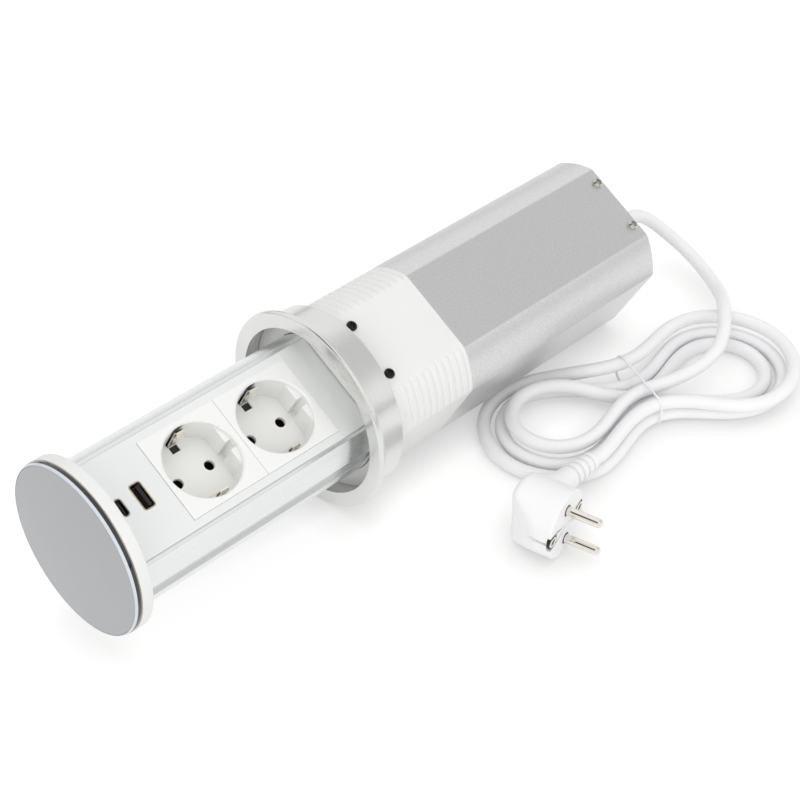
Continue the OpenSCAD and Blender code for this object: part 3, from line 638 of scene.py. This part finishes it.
@dataclass
class Shell:
    """The moulded sleeve under the flange and the extruded housing behind it."""

    radius: float = 46.8
    flat: float = 40.5
    wall: float = 2.2
    top: float = -9.5
    joint: float = -68.0
    joint_gap: float = 0.05
    shelf: float = -58.0
    end: float = -210.5
    spigot: float = 12.0
    spigot_gap: float = 0.1
    housing_wall: float = 2.0
    rib_pitch: float = 4.4
    rib_depth: float = 0.9
    rib_ramp: float = 0.3
    ribs: int = 10
    rib_start: float = 0.5
    rib_steps: int = 14
    end_round: float = 0.5
    edge_round: float = 0.4
    inner_round: float = 0.3
    joint_round: float = 0.2
    sleeve_sharp: float = 170.0
    housing_sharp: float = 420.0
    housing_sides: int = 720

    def sleeve_rows(self) -> np.ndarray:
        """Sections of the sleeve: ribs up the outside, then down the inside and out at the spigot.

        A rib stands up by depth * soft_step(p / ramp) * soft_step((1 - p) / ramp), with p the
        place in its pitch, so that it fades into the flats.
        """
        count = self.ribs * self.rib_steps
        turn = np.arange(count + 1) / self.rib_steps
        part = turn % 1
        ramps = soft_step(part / self.rib_ramp) * soft_step((1 - part) / self.rib_ramp)
        rise = self.rib_depth * ramps
        root = self.radius - self.rib_depth
        height = self.joint + self.rib_pitch * (turn + self.rib_start)
        ribs = np.stack([root + rise, np.full_like(rise, self.flat), height], axis=1)
        ahead = [
            (self.radius, self.flat, self.joint, self.joint_round),
            (self.radius, self.flat, height[0] - self.rib_depth, self.edge_round),
        ]
        inner_r, inner_flat = self.radius - self.wall, self.flat - self.wall
        spigot_r = self.radius - self.housing_wall - self.spigot_gap
        spigot_flat = self.flat - self.housing_wall - self.spigot_gap
        low = self.joint - self.spigot
        after = [
            (self.radius, self.flat, height[-1] + self.rib_depth, self.inner_round),
            (self.radius, self.flat, self.top, self.edge_round),
            (inner_r, inner_flat, self.top, self.inner_round),
            (inner_r, inner_flat, self.shelf, 0),
            (spigot_r - self.wall, inner_flat, self.shelf, 0),
            (spigot_r - self.wall, inner_flat, low, 0),
            (spigot_r, spigot_flat, low, self.inner_round),
            (spigot_r, spigot_flat, self.joint, 0),
        ]
        ends = [rounded_line(corners, closed=False) for corners in (ahead, after)]
        return np.concatenate([ends[0], ribs, ends[1]])

    def build(self) -> None:
        """Make the sleeve and the housing."""
        sleeve = cut_tube("sleeve", self.sleeve_rows(), self.sleeve_sharp)
        settle(sleeve, HOUSING, Finishes.WHITE, "threaded_sleeve")
        inner_r, inner_flat = self.radius - self.housing_wall, self.flat - self.housing_wall
        mouth = self.joint - self.joint_gap
        rows = rounded_line([
            (self.radius, self.flat, self.end, self.end_round),
            (self.radius, self.flat, mouth, self.edge_round),
            (inner_r, inner_flat, mouth, self.inner_round),
            (inner_r, inner_flat, self.end, self.edge_round),
        ])
        housing = cut_tube("outer_housing", rows, self.housing_sharp, self.housing_sides)
        settle(housing, HOUSING, Finishes.HOUSING, "housing")


@dataclass
class Cap:
    """The cap: a white cup, a metal band, a black bevel and a glass disc with a pale ground edge that is partly a
    painted highlight.
    """

    radius: float = 45.1
    back: float = 135.5
    base: float = 138.5
    rim: float = 4.5
    band: float = 141.8
    band_in: float = 0.3
    bevel: float = 142.4
    bevel_in: float = 0.1
    dish: float = 143.4
    front: float = 145.5
    glass: float = 43.9
    lip_gap: float = 0.1
    lip_width: float = 0.1
    black_top: float = 144.2
    back_round: float = 0.9
    cup_round: float = 0.25
    band_round: float = 0.1
    bevel_rounds: tuple = (0.2, 0.3)
    ground_rounds: tuple = (0.06, 0.04)
    glass_rounds: tuple = (0.2, 0.45)
    sides: int = 288

    def turn(self, name: str, corners: list, finish: Finishes, *nodes: str) -> None:
        """Turn one piece of the cap.

        Args:
            name: The piece's name.
            corners: Radius, height and rounding of each corner of its profile.
            finish: Its finish.
            nodes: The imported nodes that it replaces.
        """
        piece = revolve(name, rounded_line(corners), sides=self.sides)
        settle(piece, CARRIAGE, finish, *nodes)

    def build(self) -> None:
        """Turn the pieces, with the glass's pale ground edge, partly a painted highlight, over the upper part of
        the bevel.
        """
        inner = self.radius - self.rim
        cup = [
            (0, self.back, 0),
            (self.radius, self.back, self.back_round),
            (self.radius, self.band, self.cup_round),
            (inner, self.band, 0),
            (inner, self.base, 0),
            (0, self.base, 0),
        ]
        self.turn("cap_cup", cup, Finishes.WHITE, "cap_ring")
        band_r = self.radius - self.band_in
        band = [
            (inner, self.band, 0),
            (band_r, self.band, self.band_round),
            (band_r, self.bevel, self.band_round),
            (inner, self.bevel, 0),
        ]
        self.turn("metal_band", band, Finishes.BAND, "cap_band")
        lip = self.glass + self.lip_gap
        rim = lip + self.lip_width
        edge = self.radius - self.bevel_in
        slope = float(np.interp(self.black_top, [self.dish, self.front], [edge, rim]))
        bevel = [
            (0, self.bevel, 0),
            (edge, self.bevel, self.bevel_rounds[0]),
            (edge, self.dish, self.bevel_rounds[1]),
            (slope, self.black_top, 0),
            (lip, self.black_top, 0),
            (lip, self.dish, 0),
            (0, self.dish, 0),
        ]
        self.turn("black_bevel", bevel, Finishes.BEVEL, "cap_bevel")
        ground = [
            (lip, self.black_top, 0),
            (slope, self.black_top, 0),
            (rim, self.front, self.ground_rounds[0]),
            (lip, self.front, self.ground_rounds[1]),
        ]
        # A pale ring at the glass's edge: the ground edge, and a painted highlight along it
        self.turn("glass_edge", ground, Finishes.EDGE)
        disc = [
            (0, self.dish, 0),
            (self.glass, self.dish, self.glass_rounds[0]),
            (self.glass, self.front, self.glass_rounds[1]),
            (0, self.front, 0),
        ]
        self.turn("glass_disc", disc, Finishes.GLASS, "cap_glass")


@dataclass
class Wells:
    """White linings in the socket wells, over the dark carrier on the side of the lower clips."""

    centres: tuple = (77.4, 32.4)
    lining_x: tuple = (19.9, 20.15)
    lining_y: tuple = (10.0, 23.85)
    lining_half: float = 2.65
    lid_x: tuple = (13.5, 17.1)
    lid_y: tuple = (7.3, 8.0)
    lid_half: float = 2.3

    def build(self) -> None:
        """Make a lining and a lid over the floor slot for each well."""
        kinds = (
            ("well_lining", self.lining_x, self.lining_y, self.lining_half),
            ("floor_lid", self.lid_x, self.lid_y, self.lid_half),
        )
        for number, centre in enumerate(self.centres, start=1):
            for kind, x, y, half in kinds:
                low = (x[0], y[0], centre - half)
                high = (x[1], y[1], centre + half)
                settle(block(f"{kind}_{number}", low, high), CARRIAGE, Finishes.SOCKET)


@dataclass
class Plug:
    """The earthed plug: a round body that slopes away behind its face, and a ringed boot.

    In its own frame +X is the way the pins point and +Y the side that the lead leaves by.
    """

    at: tuple = (25.4, -121.2, 18.5)
    turn: float = -75.5
    radius: float = 18.5
    depth: float = 27.0
    back_top: float = 17.5
    back_low: float = 8.5
    slope: float = 9.0
    face_round: float = 0.8
    back_round: float = 4.0
    soft: float = 16.0
    recess_half: float = 4.2
    recess_len: float = 1.8
    recess_floor: float = 10.4
    slit_half: float = 0.8
    slit_len: float = 19.0
    slit_floor: float = 15.6
    roll_half: tuple = (2.7, 2.1)
    roll_wire: float = 0.6
    pin_spacing: float = 19.0
    pin_radius: float = 2.4
    pin_root: float = 8.0
    pin_len: float = 19.0
    pin_round: float = 0.2
    tip_share: float = 0.9
    ring_gap: float = 0.05
    ring_width: float = 0.7
    ring_depth: float = 0.6
    ring_proud: float = 0.08
    ring_round: float = 0.05
    painted_shade_bar_gap: float = 0.3
    painted_shade_bar_front: float = -0.35
    roll_front: float = -0.2
    tip_steps: int = 10
    painted_shade_bar_steps: int = 6
    roll_steps: int = 48
    pin_sides: int = 64
    boot_len: float = 40.0
    boot_tip: float = 5.0
    boot_neck: float = 6.5
    boot_base: float = 12.0
    boot_plain: float = 14.0
    boot_lip: float = 3.0
    grooves: int = 5
    groove_w: float = 1.5
    groove_depth: float = 1.3
    groove_floor: tuple = (0.15, 0.85)
    groove_round: float = 0.25
    boot_round: float = 0.6
    flare_round: float = 5.0
    boot_sides: int = 96

    def frame(self) -> Frame:
        """Return the plug's frame."""
        return Frame(np.array(self.at) * MM, upright_turn(self.turn))

    def body(
        self, sides: int = 360, corner_steps: int = 8, body_steps: int = 80
    ) -> bpy.types.Object:
        """Make the body from sections across its X axis.

        A section is the circle r = R cut at the heights top and low: 1/r^n = 1/R^n +
        (cos+ a / top)^n + (cos- a / low)^n, less the inset of the rounded face and back. Slits
        and recesses for the earth contacts clip its sides.

        Args:
            sides: Steps round the body.
            corner_steps: Sections in a rounded edge.
            body_steps: Sections between the edges.

        Returns:
            The body.
        """
        quarter = np.linspace(0, math.pi / 2, corner_steps)
        arc = 1 - np.stack([np.cos(quarter), np.sin(quarter)], axis=1)
        front = self.face_round * arc * [-1, 1]
        rear = self.back_round * arc[:, ::-1] - [self.depth, 0]
        middle = np.linspace(-self.face_round, self.back_round - self.depth, body_steps)[1:-1]
        middle = np.stack([middle, np.zeros_like(middle)], axis=1)
        rows = np.concatenate([front[:1], front, middle, rear, rear[-1:]])
        keep = np.ones(len(rows))
        keep[[0, -1]] = 0
        along, inset = rows[:, :1], rows[:, 1:]
        angle = circle(sides)
        top = np.interp(along, [-self.depth, 0], [self.back_top, self.radius])
        low = np.interp(along, [-self.depth, -self.slope], [self.back_low, self.radius])
        up, down = np.maximum(np.cos(angle), 0), np.maximum(-np.cos(angle), 0)
        flats = (self.radius * up / top) ** self.soft + (self.radius * down / low) ** self.soft
        reach = (self.radius * (1 + flats) ** (-1 / self.soft) - inset) * keep[:, None]
        y, z = reach * np.cos(angle), reach * np.sin(angle)
        in_slit = (along > -self.slit_len) & (np.abs(z) < self.slit_half)
        in_recess = (along > -self.recess_len) & (np.abs(z) < self.recess_half)
        y = np.where(in_slit, np.clip(y, -self.slit_floor, self.slit_floor), y)
        y = np.where(in_recess, np.clip(y, -self.recess_floor, self.recess_floor), y)
        points = np.stack(np.broadcast_arrays(along, y, z), axis=-1)
        plug = grid_mesh("moulded_plug", self.frame().place(points))
        return settle(plug, HOUSING, Finishes.CORD, "plug_body")

    def pins(self) -> list:
        """Turn the two pins, with round tips, and the dark ring about the root of each."""
        plug = self.frame()
        pin = rounded_line([
            (0, -self.pin_root, 0),
            (self.pin_radius, -self.pin_root, self.pin_round),
            (self.pin_radius, self.pin_len, self.pin_radius * self.tip_share),
            (0, self.pin_len, 0),
        ], steps=self.tip_steps)
        hole = self.pin_radius + self.ring_gap
        ring = rounded_line([
            (hole, -self.ring_depth, 0),
            (hole + self.ring_width, -self.ring_depth, 0),
            (hole + self.ring_width, self.ring_proud, self.ring_round),
            (hole, self.ring_proud, self.ring_round),
        ])
        made = []
        for number, side in enumerate((-1, 1), start=1):
            spot = plug.place([0, 0, side * self.pin_spacing / 2])
            place = Frame(spot, plug.axes[[1, 2, 0]])
            nodes = ["plug_pins"] if number == 1 else []
            turned = revolve(f"plug_pin_{number}", pin, place, self.pin_sides)
            made.append(settle(turned, HOUSING, Finishes.NICKEL, *nodes))
            turned = revolve(f"root_ring_{number}", ring, place, self.pin_sides)
            made.append(settle(turned, HOUSING, Finishes.DARK))
        return made

    def contacts(self) -> list:
        """Make the earth contacts: in each recess a dark bar of painted shade and the rolled end of the contact.

        The dark bar is a short round bar that stands for the shade deep in the recess, and a rolled end is a wire
        along an ellipse.
        """
        plug = self.frame()
        half = self.recess_half - self.painted_shade_bar_gap
        middle = self.recess_floor + half
        angle = circle(self.roll_steps)
        made = []
        for number, side in enumerate((-1, 1), start=1):
            ends = [[front, side * middle, 0] for front in (-self.recess_len, self.painted_shade_bar_front)]
            path = plug.place(np.linspace(*ends, self.painted_shade_bar_steps))
            # A dark bar in the recess: painted shade for the deep slot behind the contact
            painted_shade_bar = tube(f"contact_painted_shade_{number}", path, half * MM)
            made.append(settle(painted_shade_bar, HOUSING, Finishes.DARK))
            across = side * middle + self.roll_half[0] * np.cos(angle)
            up = self.roll_half[1] * np.sin(angle)
            ring = plug.place(np.stack([np.full_like(angle, self.roll_front), across, up], axis=1))
            roll = tube(f"earth_contact_{number}", ring, self.roll_wire * MM, closed=True)
            nodes = ["plug_earth_clips"] if number == 1 else []
            made.append(settle(roll, HOUSING, Finishes.NICKEL, *nodes))
        return made

    def boot(self, tip: np.ndarray, ahead: np.ndarray) -> bpy.types.Object:
        """Turn the boot about the end of the lead.

        Args:
            tip: The end of the lead in metres.
            ahead: The unit direction of the lead at that end.

        Returns:
            The boot: rings up to its neck, then a flare into the body.
        """
        side = unit(np.cross([0, 0, 1.0], ahead))
        place = Frame(tip, np.stack([side, np.cross(ahead, side), ahead]))
        neck = self.boot_len - self.boot_plain
        pitch = (neck - self.boot_lip) / self.grooves
        first, last = self.groove_floor
        steps = ((0, 0), (1, first), (1, last), (0, 1))
        corners = [(0, 0, 0), (self.boot_tip, 0, self.boot_round)]
        for number in range(self.grooves):
            low = self.boot_lip + number * pitch
            wall = self.boot_tip + (self.boot_neck - self.boot_tip) * low / neck
            for depth, step in steps:
                height = low + step * self.groove_w
                corners.append((wall - depth * self.groove_depth, height, self.groove_round))
        corners += [
            (self.boot_neck, neck, self.flare_round),
            (self.boot_base, self.boot_len, 0),
            (0, self.boot_len, 0),
        ]
        made = revolve("ringed_boot", rounded_line(corners), place, self.boot_sides)
        return settle(made, HOUSING, Finishes.CORD, "plug_boot")


@dataclass(frozen=True)
class Flag:
    """A soft round grey card that only mirrors see.

    Its tone falls from 1 to tone as the cosine of the angle to the direction at goes from edge
    to core.
    """

    at: tuple
    edge: float
    core: float
    tone: float

    def shade(self, tree: bpy.types.NodeTree, view: bpy.types.NodeSocket) -> bpy.types.NodeSocket:
        """Add the card's nodes to a world.

        Args:
            tree: The world's node tree.
            view: The socket with the direction of a ray.

        Returns:
            The socket with the card's tone.
        """
        aim = tuple(unit(np.array(self.at)).tolist())
        near = add_node(tree, "ShaderNodeVectorMath", {"operation": "DOT_PRODUCT", 1: aim}, {0: view})
        tone = add_node(
            tree,
            "ShaderNodeMapRange",
            {
                "interpolation_type": "SMOOTHSTEP",
                "From Min": self.edge,
                "From Max": self.core,
                "To Min": 1.0,
                "To Max": self.tone,
            },
            {"Value": near.outputs["Value"]},
        )
        return tone.outputs[0]


@dataclass(frozen=True)
class Lamp:
    """A square softbox that faces the object and that mirrors don't see.

    Its place and side are metres of the shared frame, its power is watts.
    """

    name: str
    at: tuple
    side: float
    power: float

    def add(self) -> None:
        """Add the lamp to the scene."""
        light = bpy.data.lights.new(self.name, "AREA")
        light.size = self.side
        light.energy = self.power
        holder = bpy.data.objects.new(self.name, light)
        turn = (-Vector(self.at)).to_track_quat("-Z", "Y").to_matrix()
        holder.matrix_world = Matrix.Translation(self.at) @ turn.to_4x4()
        holder.visible_glossy = False
        bpy.context.scene.collection.objects.link(holder)


@dataclass
class Studio:
    """Camera, floor and soft light; lengths are metres of the shared frame."""

    camera_at: tuple = (-0.484711, -0.519865, 0.672546)
    right: tuple = (0.7103, -0.7039, 0.0)
    down: tuple = (-0.4682, -0.4726, -0.7466)
    lens_mm: float = 83.82
    sensor_mm: float = 36.0
    clip_end: float = 50.0
    floor_half: float = 6.0
    floor_colour: str = "#F4F4F3"
    shadow_colour: tuple = (0.25, 0.25, 0.245, 1)
    floor_glow: float = 0.8
    # Painted shade on the floor: within this reach of a thing its glow falls towards this tone
    painted_shade_reach: float = 0.02
    painted_shade_tone: float = 0.42
    painted_shade_samples: int = 8
    sky: float = 0.76
    horizon_top: float = 0.12
    horizon_tone: float = 0.15
    flags: tuple = (
        Flag((0.58, -0.23, 0.79), edge=0.78, core=0.97, tone=0.66),
        Flag((-0.69, 0.25, 0.66), edge=0.9, core=0.97, tone=0.1),
    )
    lamps: tuple = (
        Lamp("key", (-0.1, -0.1, 1.8), side=1.3, power=5.0),
        Lamp("fill", (-1.3, -0.5, 0.7), side=1.2, power=5.0),
        Lamp("side_fill", (0.3, -1.4, 0.8), side=1.2, power=4.0),
    )

    def build(self) -> None:
        """Make the camera, the floor, the world and the lamps."""
        self.add_camera()
        self.add_floor()
        self.add_world()
        for lamp in self.lamps:
            lamp.add()
        bpy.context.scene.view_settings.view_transform = "Standard"

    def add_camera(self) -> None:
        """Set the camera by its place and its image axes."""
        right = unit(np.array(self.right))
        down = np.array(self.down)
        down = unit(down - right * (down @ right))
        back = np.cross(right, -down)
        turn = np.stack([right, -down, back], axis=1)
        lens = bpy.data.cameras.new("photo_camera")
        lens.lens = self.lens_mm
        lens.sensor_width = self.sensor_mm
        lens.clip_end = self.clip_end
        camera = bpy.data.objects.new("photo_camera", lens)
        camera.matrix_world = Matrix.Translation(self.camera_at) @ Matrix(turn.tolist()).to_4x4()
        bpy.context.scene.collection.objects.link(camera)
        bpy.context.scene.camera = camera

    def add_floor(self) -> None:
        """Make a pale floor that looks white to the eye and in mirrors but keeps soft shadows; near things its
        glow is dimmed as painted shade.
        """
        half = self.floor_half
        corners = [[[x, y, 0] for x in (-half, half)] for y in (-half, half)]
        floor = grid_mesh("floor", np.array(corners), around=False)
        paint = bpy.data.materials.new("pale_studio_floor")
        paint.use_nodes = True
        tree = paint.node_tree
        tree.nodes.clear()
        seen = self.seen_rays(tree)
        plain = add_node(tree, "ShaderNodeBsdfDiffuse", {"Color": linear(self.floor_colour)})
        catch = add_node(tree, "ShaderNodeBsdfDiffuse", {"Color": self.shadow_colour})
        # Painted shade: ambient occlusion dims the floor's glow close to things
        occlusion_for_painted_shade = add_node(
            tree,
            "ShaderNodeAmbientOcclusion",
            {"samples": self.painted_shade_samples, "Distance": self.painted_shade_reach},
        )
        share = add_node(
            tree,
            "ShaderNodeMapRange",
            {"To Min": self.painted_shade_tone, "To Max": self.floor_glow},
            {"Value": occlusion_for_painted_shade.outputs["AO"]},
        )
        glow_with_painted_shade = add_node(
            tree, "ShaderNodeEmission", {"Color": WHITE_LIGHT}, {"Strength": share.outputs[0]}
        )
        shown = add_node(tree, "ShaderNodeAddShader", links={0: catch.outputs[0], 1: glow_with_painted_shade.outputs[0]})
        pick = add_node(
            tree, "ShaderNodeMixShader", links={0: seen, 1: plain.outputs[0], 2: shown.outputs[0]}
        )
        add_node(tree, "ShaderNodeOutputMaterial", links={"Surface": pick.outputs[0]})
        floor.data.materials.append(paint)

    def add_world(self) -> None:
        """Light the scene evenly and show white to the camera.

        Mirrors see white too, but for the flags and a dim band at the horizon, which ends at the
        sine horizon_top of the elevation.
        """
        world = bpy.data.worlds.new("studio_sky")
        world.use_nodes = True
        tree = world.node_tree
        tree.nodes.clear()
        seen = self.seen_rays(tree)
        soft = add_node(tree, "ShaderNodeBackground", {"Color": WHITE_LIGHT, "Strength": self.sky})
        view = add_node(tree, "ShaderNodeTexCoord").outputs["Generated"]
        height = add_node(tree, "ShaderNodeSeparateXYZ", links={0: view}).outputs["Z"]
        horizon = add_node(
            tree,
            "ShaderNodeMapRange",
            {
                "interpolation_type": "SMOOTHSTEP",
                "From Max": self.horizon_top,
                "To Min": self.horizon_tone,
            },
            {"Value": height},
        )
        tone = horizon.outputs[0]
        for flag in self.flags:
            darker = {0: tone, 1: flag.shade(tree, view)}
            tone = add_node(tree, "ShaderNodeMath", {"operation": "MULTIPLY"}, darker).outputs[0]
        mirror = add_node(tree, "ShaderNodeLightPath").outputs["Is Glossy Ray"]
        shade = add_node(
            tree, "ShaderNodeMix", {"data_type": "FLOAT", 2: 1.0}, {0: mirror, 3: tone}
        )
        white = add_node(
            tree, "ShaderNodeBackground", {"Color": WHITE_LIGHT}, {"Strength": shade.outputs[0]}
        )
        pick = add_node(
            tree, "ShaderNodeMixShader", links={0: seen, 1: soft.outputs[0], 2: white.outputs[0]}
        )
        add_node(tree, "ShaderNodeOutputWorld", links={"Surface": pick.outputs[0]})
        bpy.context.scene.world = world

    def seen_rays(self, tree: bpy.types.NodeTree) -> bpy.types.NodeSocket:
        """Return a socket that is 1 for camera, glossy and transmission rays."""
        path = add_node(tree, "ShaderNodeLightPath").outputs
        seen = path["Is Camera Ray"]
        for kind in ("Is Glossy Ray", "Is Transmission Ray"):
            rays = {0: seen, 1: path[kind]}
            seen = add_node(tree, "ShaderNodeMath", {"operation": "MAXIMUM"}, rays).outputs[0]
        return seen


@dataclass
class Lead:
    """The mains lead: out of the grip, over to a tied hank and into the plug's boot.

    Row points are millimetres of the shared frame; hank points have the waist as their origin.
    """

    diameter: float = 7.5
    grip_end: float = -232.0
    hank_at: tuple = (136.0, -77.5, 0.0)
    hank_turn: float = -19.0
    half_turns: int = 6
    descent: int = 1
    climb: int = 5
    fold_at: float = 52.0
    fold_first: float = 21.3
    lane_first: float = 1.7
    lane_start: float = 3.0
    lane_step: float = 4.85
    layer_rise: float = 8.2
    tie_lift: float = 1.2
    tie_power: int = 6
    run_share: float = 0.25
    descent_share: float = 0.2
    rings_per_half: int = 12
    turn_slack: float = 1e-4
    tail: tuple = (
        (-12, -18, 13.2), (-24, -23.3, 12.7), (-35, -30, 12.5), (-45, -35.8, 12.7),
        (-53, -38.9, 13.4),
    )
    points: tuple = (
        (216, 0, 44), (230.5, -1.5, 35.5), (240, -9, 24.5), (244.5, -22, 15.5), (241.5, -39, 10.5),
        (231.5, -55, 12.5), (218, -67.5, 20), (206.5, -77.5, 22), (187, -89, 17), (166, -89, 13.5),
    )
    curve_points: int = 1600
    bevel_steps: int = 6
    tie_d: float = 1.2
    tie_gap: float = 0.3
    tie_steps: int = 12

    def spiral(self, turn: np.ndarray) -> np.ndarray:
        """Count of lanes at a half turn: in on top, out below, in again after the climb."""
        last = 2 * self.climb - self.descent - turn
        return np.where(turn <= self.climb, np.abs(turn - self.descent), last)

    def lane(self, turn: np.ndarray) -> np.ndarray:
        """Distance of a run from the waist's middle."""
        later = self.lane_first + self.lane_step * self.spiral(turn)
        return np.where(turn == 0, self.lane_start, later)

    def height(self, turn: np.ndarray) -> np.ndarray:
        """Height of the centre line: its layer, with a lift over the tie at the waist."""
        fall = 1 - soft_step((turn - self.descent) / self.descent_share + 1)
        rise = soft_step((turn - self.climb) / self.run_share + 1)
        layer = np.where(turn <= self.descent, fall, rise)
        lift = self.tie_lift * np.abs(np.cos(math.pi * turn)) ** self.tie_power
        return self.diameter / 2 + self.layer_rise * layer + lift

    def hank(self) -> np.ndarray:
        """Centre line of the hank: each half turn runs out, folds in a half circle and runs back."""
        turn = np.arange(self.half_turns * self.rings_per_half + 1) / self.rings_per_half
        half = np.minimum(np.floor(turn + self.turn_slack), self.half_turns - 1)
        part = turn - half
        side = np.where(half % 2 == 0, -1.0, 1.0)
        fold = self.fold_first + self.lane_step * self.spiral(half + 0.5)
        out = part / self.run_share
        back = (1 - part) / self.run_share
        angle = math.pi * (part - self.run_share) / (1 - 2 * self.run_share)
        out_y = self.lane(half) + (fold - self.lane(half)) * soft_step(out)
        back_y = self.lane(half + 1) + (fold - self.lane(half + 1)) * soft_step(back)
        runs = [part < self.run_share, part > 1 - self.run_share]
        round_x = self.fold_at + fold * np.sin(angle)
        x = np.select(runs, [self.fold_at * out, self.fold_at * back], round_x)
        y = np.select(runs, [out_y, -back_y], fold * np.cos(angle))
        return np.stack([side * x, side * y, self.height(turn)], axis=1)

    def to_row(self, points: np.ndarray) -> np.ndarray:
        """Turn hank points into millimetres of the shared frame."""
        turn = upright_turn(self.hank_turn)
        return np.array(self.hank_at) + np.asarray(points, float) @ turn

    def route(self) -> np.ndarray:
        """Centre line of the whole lead in metres, on one smooth curve through its points."""
        start = COLUMN.place([[0, 0, self.grip_end]]) / MM
        away = -COLUMN.axes[2]
        hank = self.to_row(self.hank())
        inward = self.to_row([[-1, 0, 0]]) - self.to_row([[0, 0, 0]])
        knots = np.concatenate([
            start,
            start + self.diameter * away,
            np.array(self.points, float),
            hank[:1] - self.diameter * inward,
            hank,
            self.to_row(self.tail),
        ])
        return smooth_curve(knots, self.curve_points) * MM

    def far_end(self) -> tuple:
        """Return the end of the lead and its direction there."""
        last = self.to_row(self.tail[-2:]) * MM
        return last[1], unit(last[1] - last[0])

    def build(self) -> bpy.types.Object:
        """Make the lead as one round curve."""
        route = self.route()
        data = bpy.data.curves.new("lead", "CURVE")
        data.dimensions = "3D"
        data.bevel_depth = self.diameter / 2 * MM
        data.bevel_resolution = self.bevel_steps
        data.use_fill_caps = True
        spline = data.splines.new("POLY")
        spline.points.add(len(route) - 1)
        spline.points.foreach_set("co", np.column_stack([route, np.ones(len(route))]).ravel())
        spline.use_smooth = True
        lead = bpy.data.objects.new("lead", data)
        bpy.context.scene.collection.objects.link(lead)
        return settle(lead, HOUSING, Finishes.CORD, "cord_lead", "cord_hank")

    def declare(self) -> None:
        """Work out the lead's route, and do nothing more with it."""
        route = self.route()

    def tie(self) -> bpy.types.Object:
        """Make the wire tie: a round wire along a rounded ring about the waist."""
        half_cord = self.diameter / 2 + self.tie_gap + self.tie_d / 2
        low = -float(self.lane(np.array(self.climb - 1.0))) - half_cord
        high = float(self.lane(np.array(float(self.climb)))) + half_cord
        bottom = self.tie_d / 2
        top = float(self.height(np.array(0.0))) + half_cord
        corners = [(low, bottom), (high, bottom), (high, top), (low, top)]
        ring = rounded_line([(*spot, self.diameter) for spot in corners], steps=self.tie_steps)
        path = self.to_row(np.column_stack([np.zeros(len(ring)), ring])) * MM
        wire = tube("wire_tie", path, self.tie_d / 2 * MM, closed=True)
        return settle(wire, HOUSING, Finishes.CORD, "cord_tie")


def soft_step(share: np.ndarray) -> np.ndarray:
    """Blend from 0 to 1 with level ends: half of 1 - cos(pi s)."""
    return (1 - np.cos(math.pi * np.clip(share, 0, 1))) / 2


def smooth_curve(knots: np.ndarray, count: int) -> np.ndarray:
    """Lay a natural cubic spline through points.

    The knots are spaced by the distances between them, and the second derivatives solve the
    usual three-term system.

    Args:
        knots: Points that the curve passes through.
        count: Points to return, evenly spaced in the spline's parameter.

    Returns:
        Points along the curve.
    """
    gaps = np.linalg.norm(np.diff(knots, axis=0), axis=1)
    place = np.concatenate([[0], np.cumsum(gaps)])
    size = len(knots)
    system = np.eye(size)
    inner = np.arange(1, size - 1)
    system[inner, inner - 1] = gaps[:-1]
    system[inner, inner] = 2 * (gaps[:-1] + gaps[1:])
    system[inner, inner + 1] = gaps[1:]
    slope = np.diff(knots, axis=0) / gaps[:, None]
    right = np.zeros_like(knots)
    right[1:-1] = 6 * np.diff(slope, axis=0)
    bend = np.linalg.solve(system, right)
    at = np.linspace(0, place[-1], count)
    part = np.clip(np.searchsorted(place, at, side="right") - 1, 0, size - 2)
    ahead = (place[part + 1] - at)[:, None]
    behind = (at - place[part])[:, None]
    gap = gaps[part][:, None]
    return (
        bend[part] * ahead**3 / (6 * gap)
        + bend[part + 1] * behind**3 / (6 * gap)
        + (knots[part] / gap - bend[part] * gap / 6) * ahead
        + (knots[part + 1] / gap - bend[part + 1] * gap / 6) * behind
    )


def tube(
    name: str, path: np.ndarray, radius: float, closed: bool = False, sides: int = 16
) -> bpy.types.Object:
    """Carry a circle along a path.

    At each point the circle lies across the path's direction. It is turned from the vertical,
    from X where the path is steep, and from the normal of its plane where the path is closed.

    Args:
        name: The piece's name.
        path: Points of the centre line in metres.
        radius: The circle's radius in metres.
        closed: True where the path joins its own start.
        sides: Steps round the circle.

    Returns:
        The tube, with its ends drawn to a point where the path is open.
    """
    ahead = np.roll(path, -1, axis=0) - np.roll(path, 1, axis=0)
    if not closed:
        ahead[0] = path[1] - path[0]
        ahead[-1] = path[-1] - path[-2]
    ahead = unit(ahead)
    hint = np.where(np.abs(ahead[:, 2:]) > STEEP, [[1.0, 0.0, 0.0]], [[0.0, 0.0, 1.0]])
    if closed:
        normal = np.cross(path[1] - path[0], path[len(path) // 3] - path[0])
        hint = np.broadcast_to(unit(normal), path.shape)
    side = unit(np.cross(ahead, hint))
    over = np.cross(side, ahead)
    angle = circle(sides)[None, :, None]
    points = path[:, None] + radius * (np.cos(angle) * side[:, None] + np.sin(angle) * over[:, None])
    if not closed:
        ends = [np.broadcast_to(path[i], (1, sides, 3)) for i in (0, -1)]
        points = np.concatenate([ends[0], points, ends[1]])
    return grid_mesh(name, points, along=closed)


def main() -> None:
    """Build the scene in order."""
    logging.basicConfig(level=logging.INFO, format="%(message)s")
    Studio().build()
    dress_frame()
    Flange().build()
    Shell().build()
    Cap().build()
    Wells().build()
    route = Lead()
    lead = route.build()
    plug = Plug()
    tip, ahead = route.far_end()
    made = [route.tie(), plug.boot(tip, ahead), plug.body(), *plug.contacts(), *plug.pins()]
    route.declare()


if __name__ == "__main__":
    main()
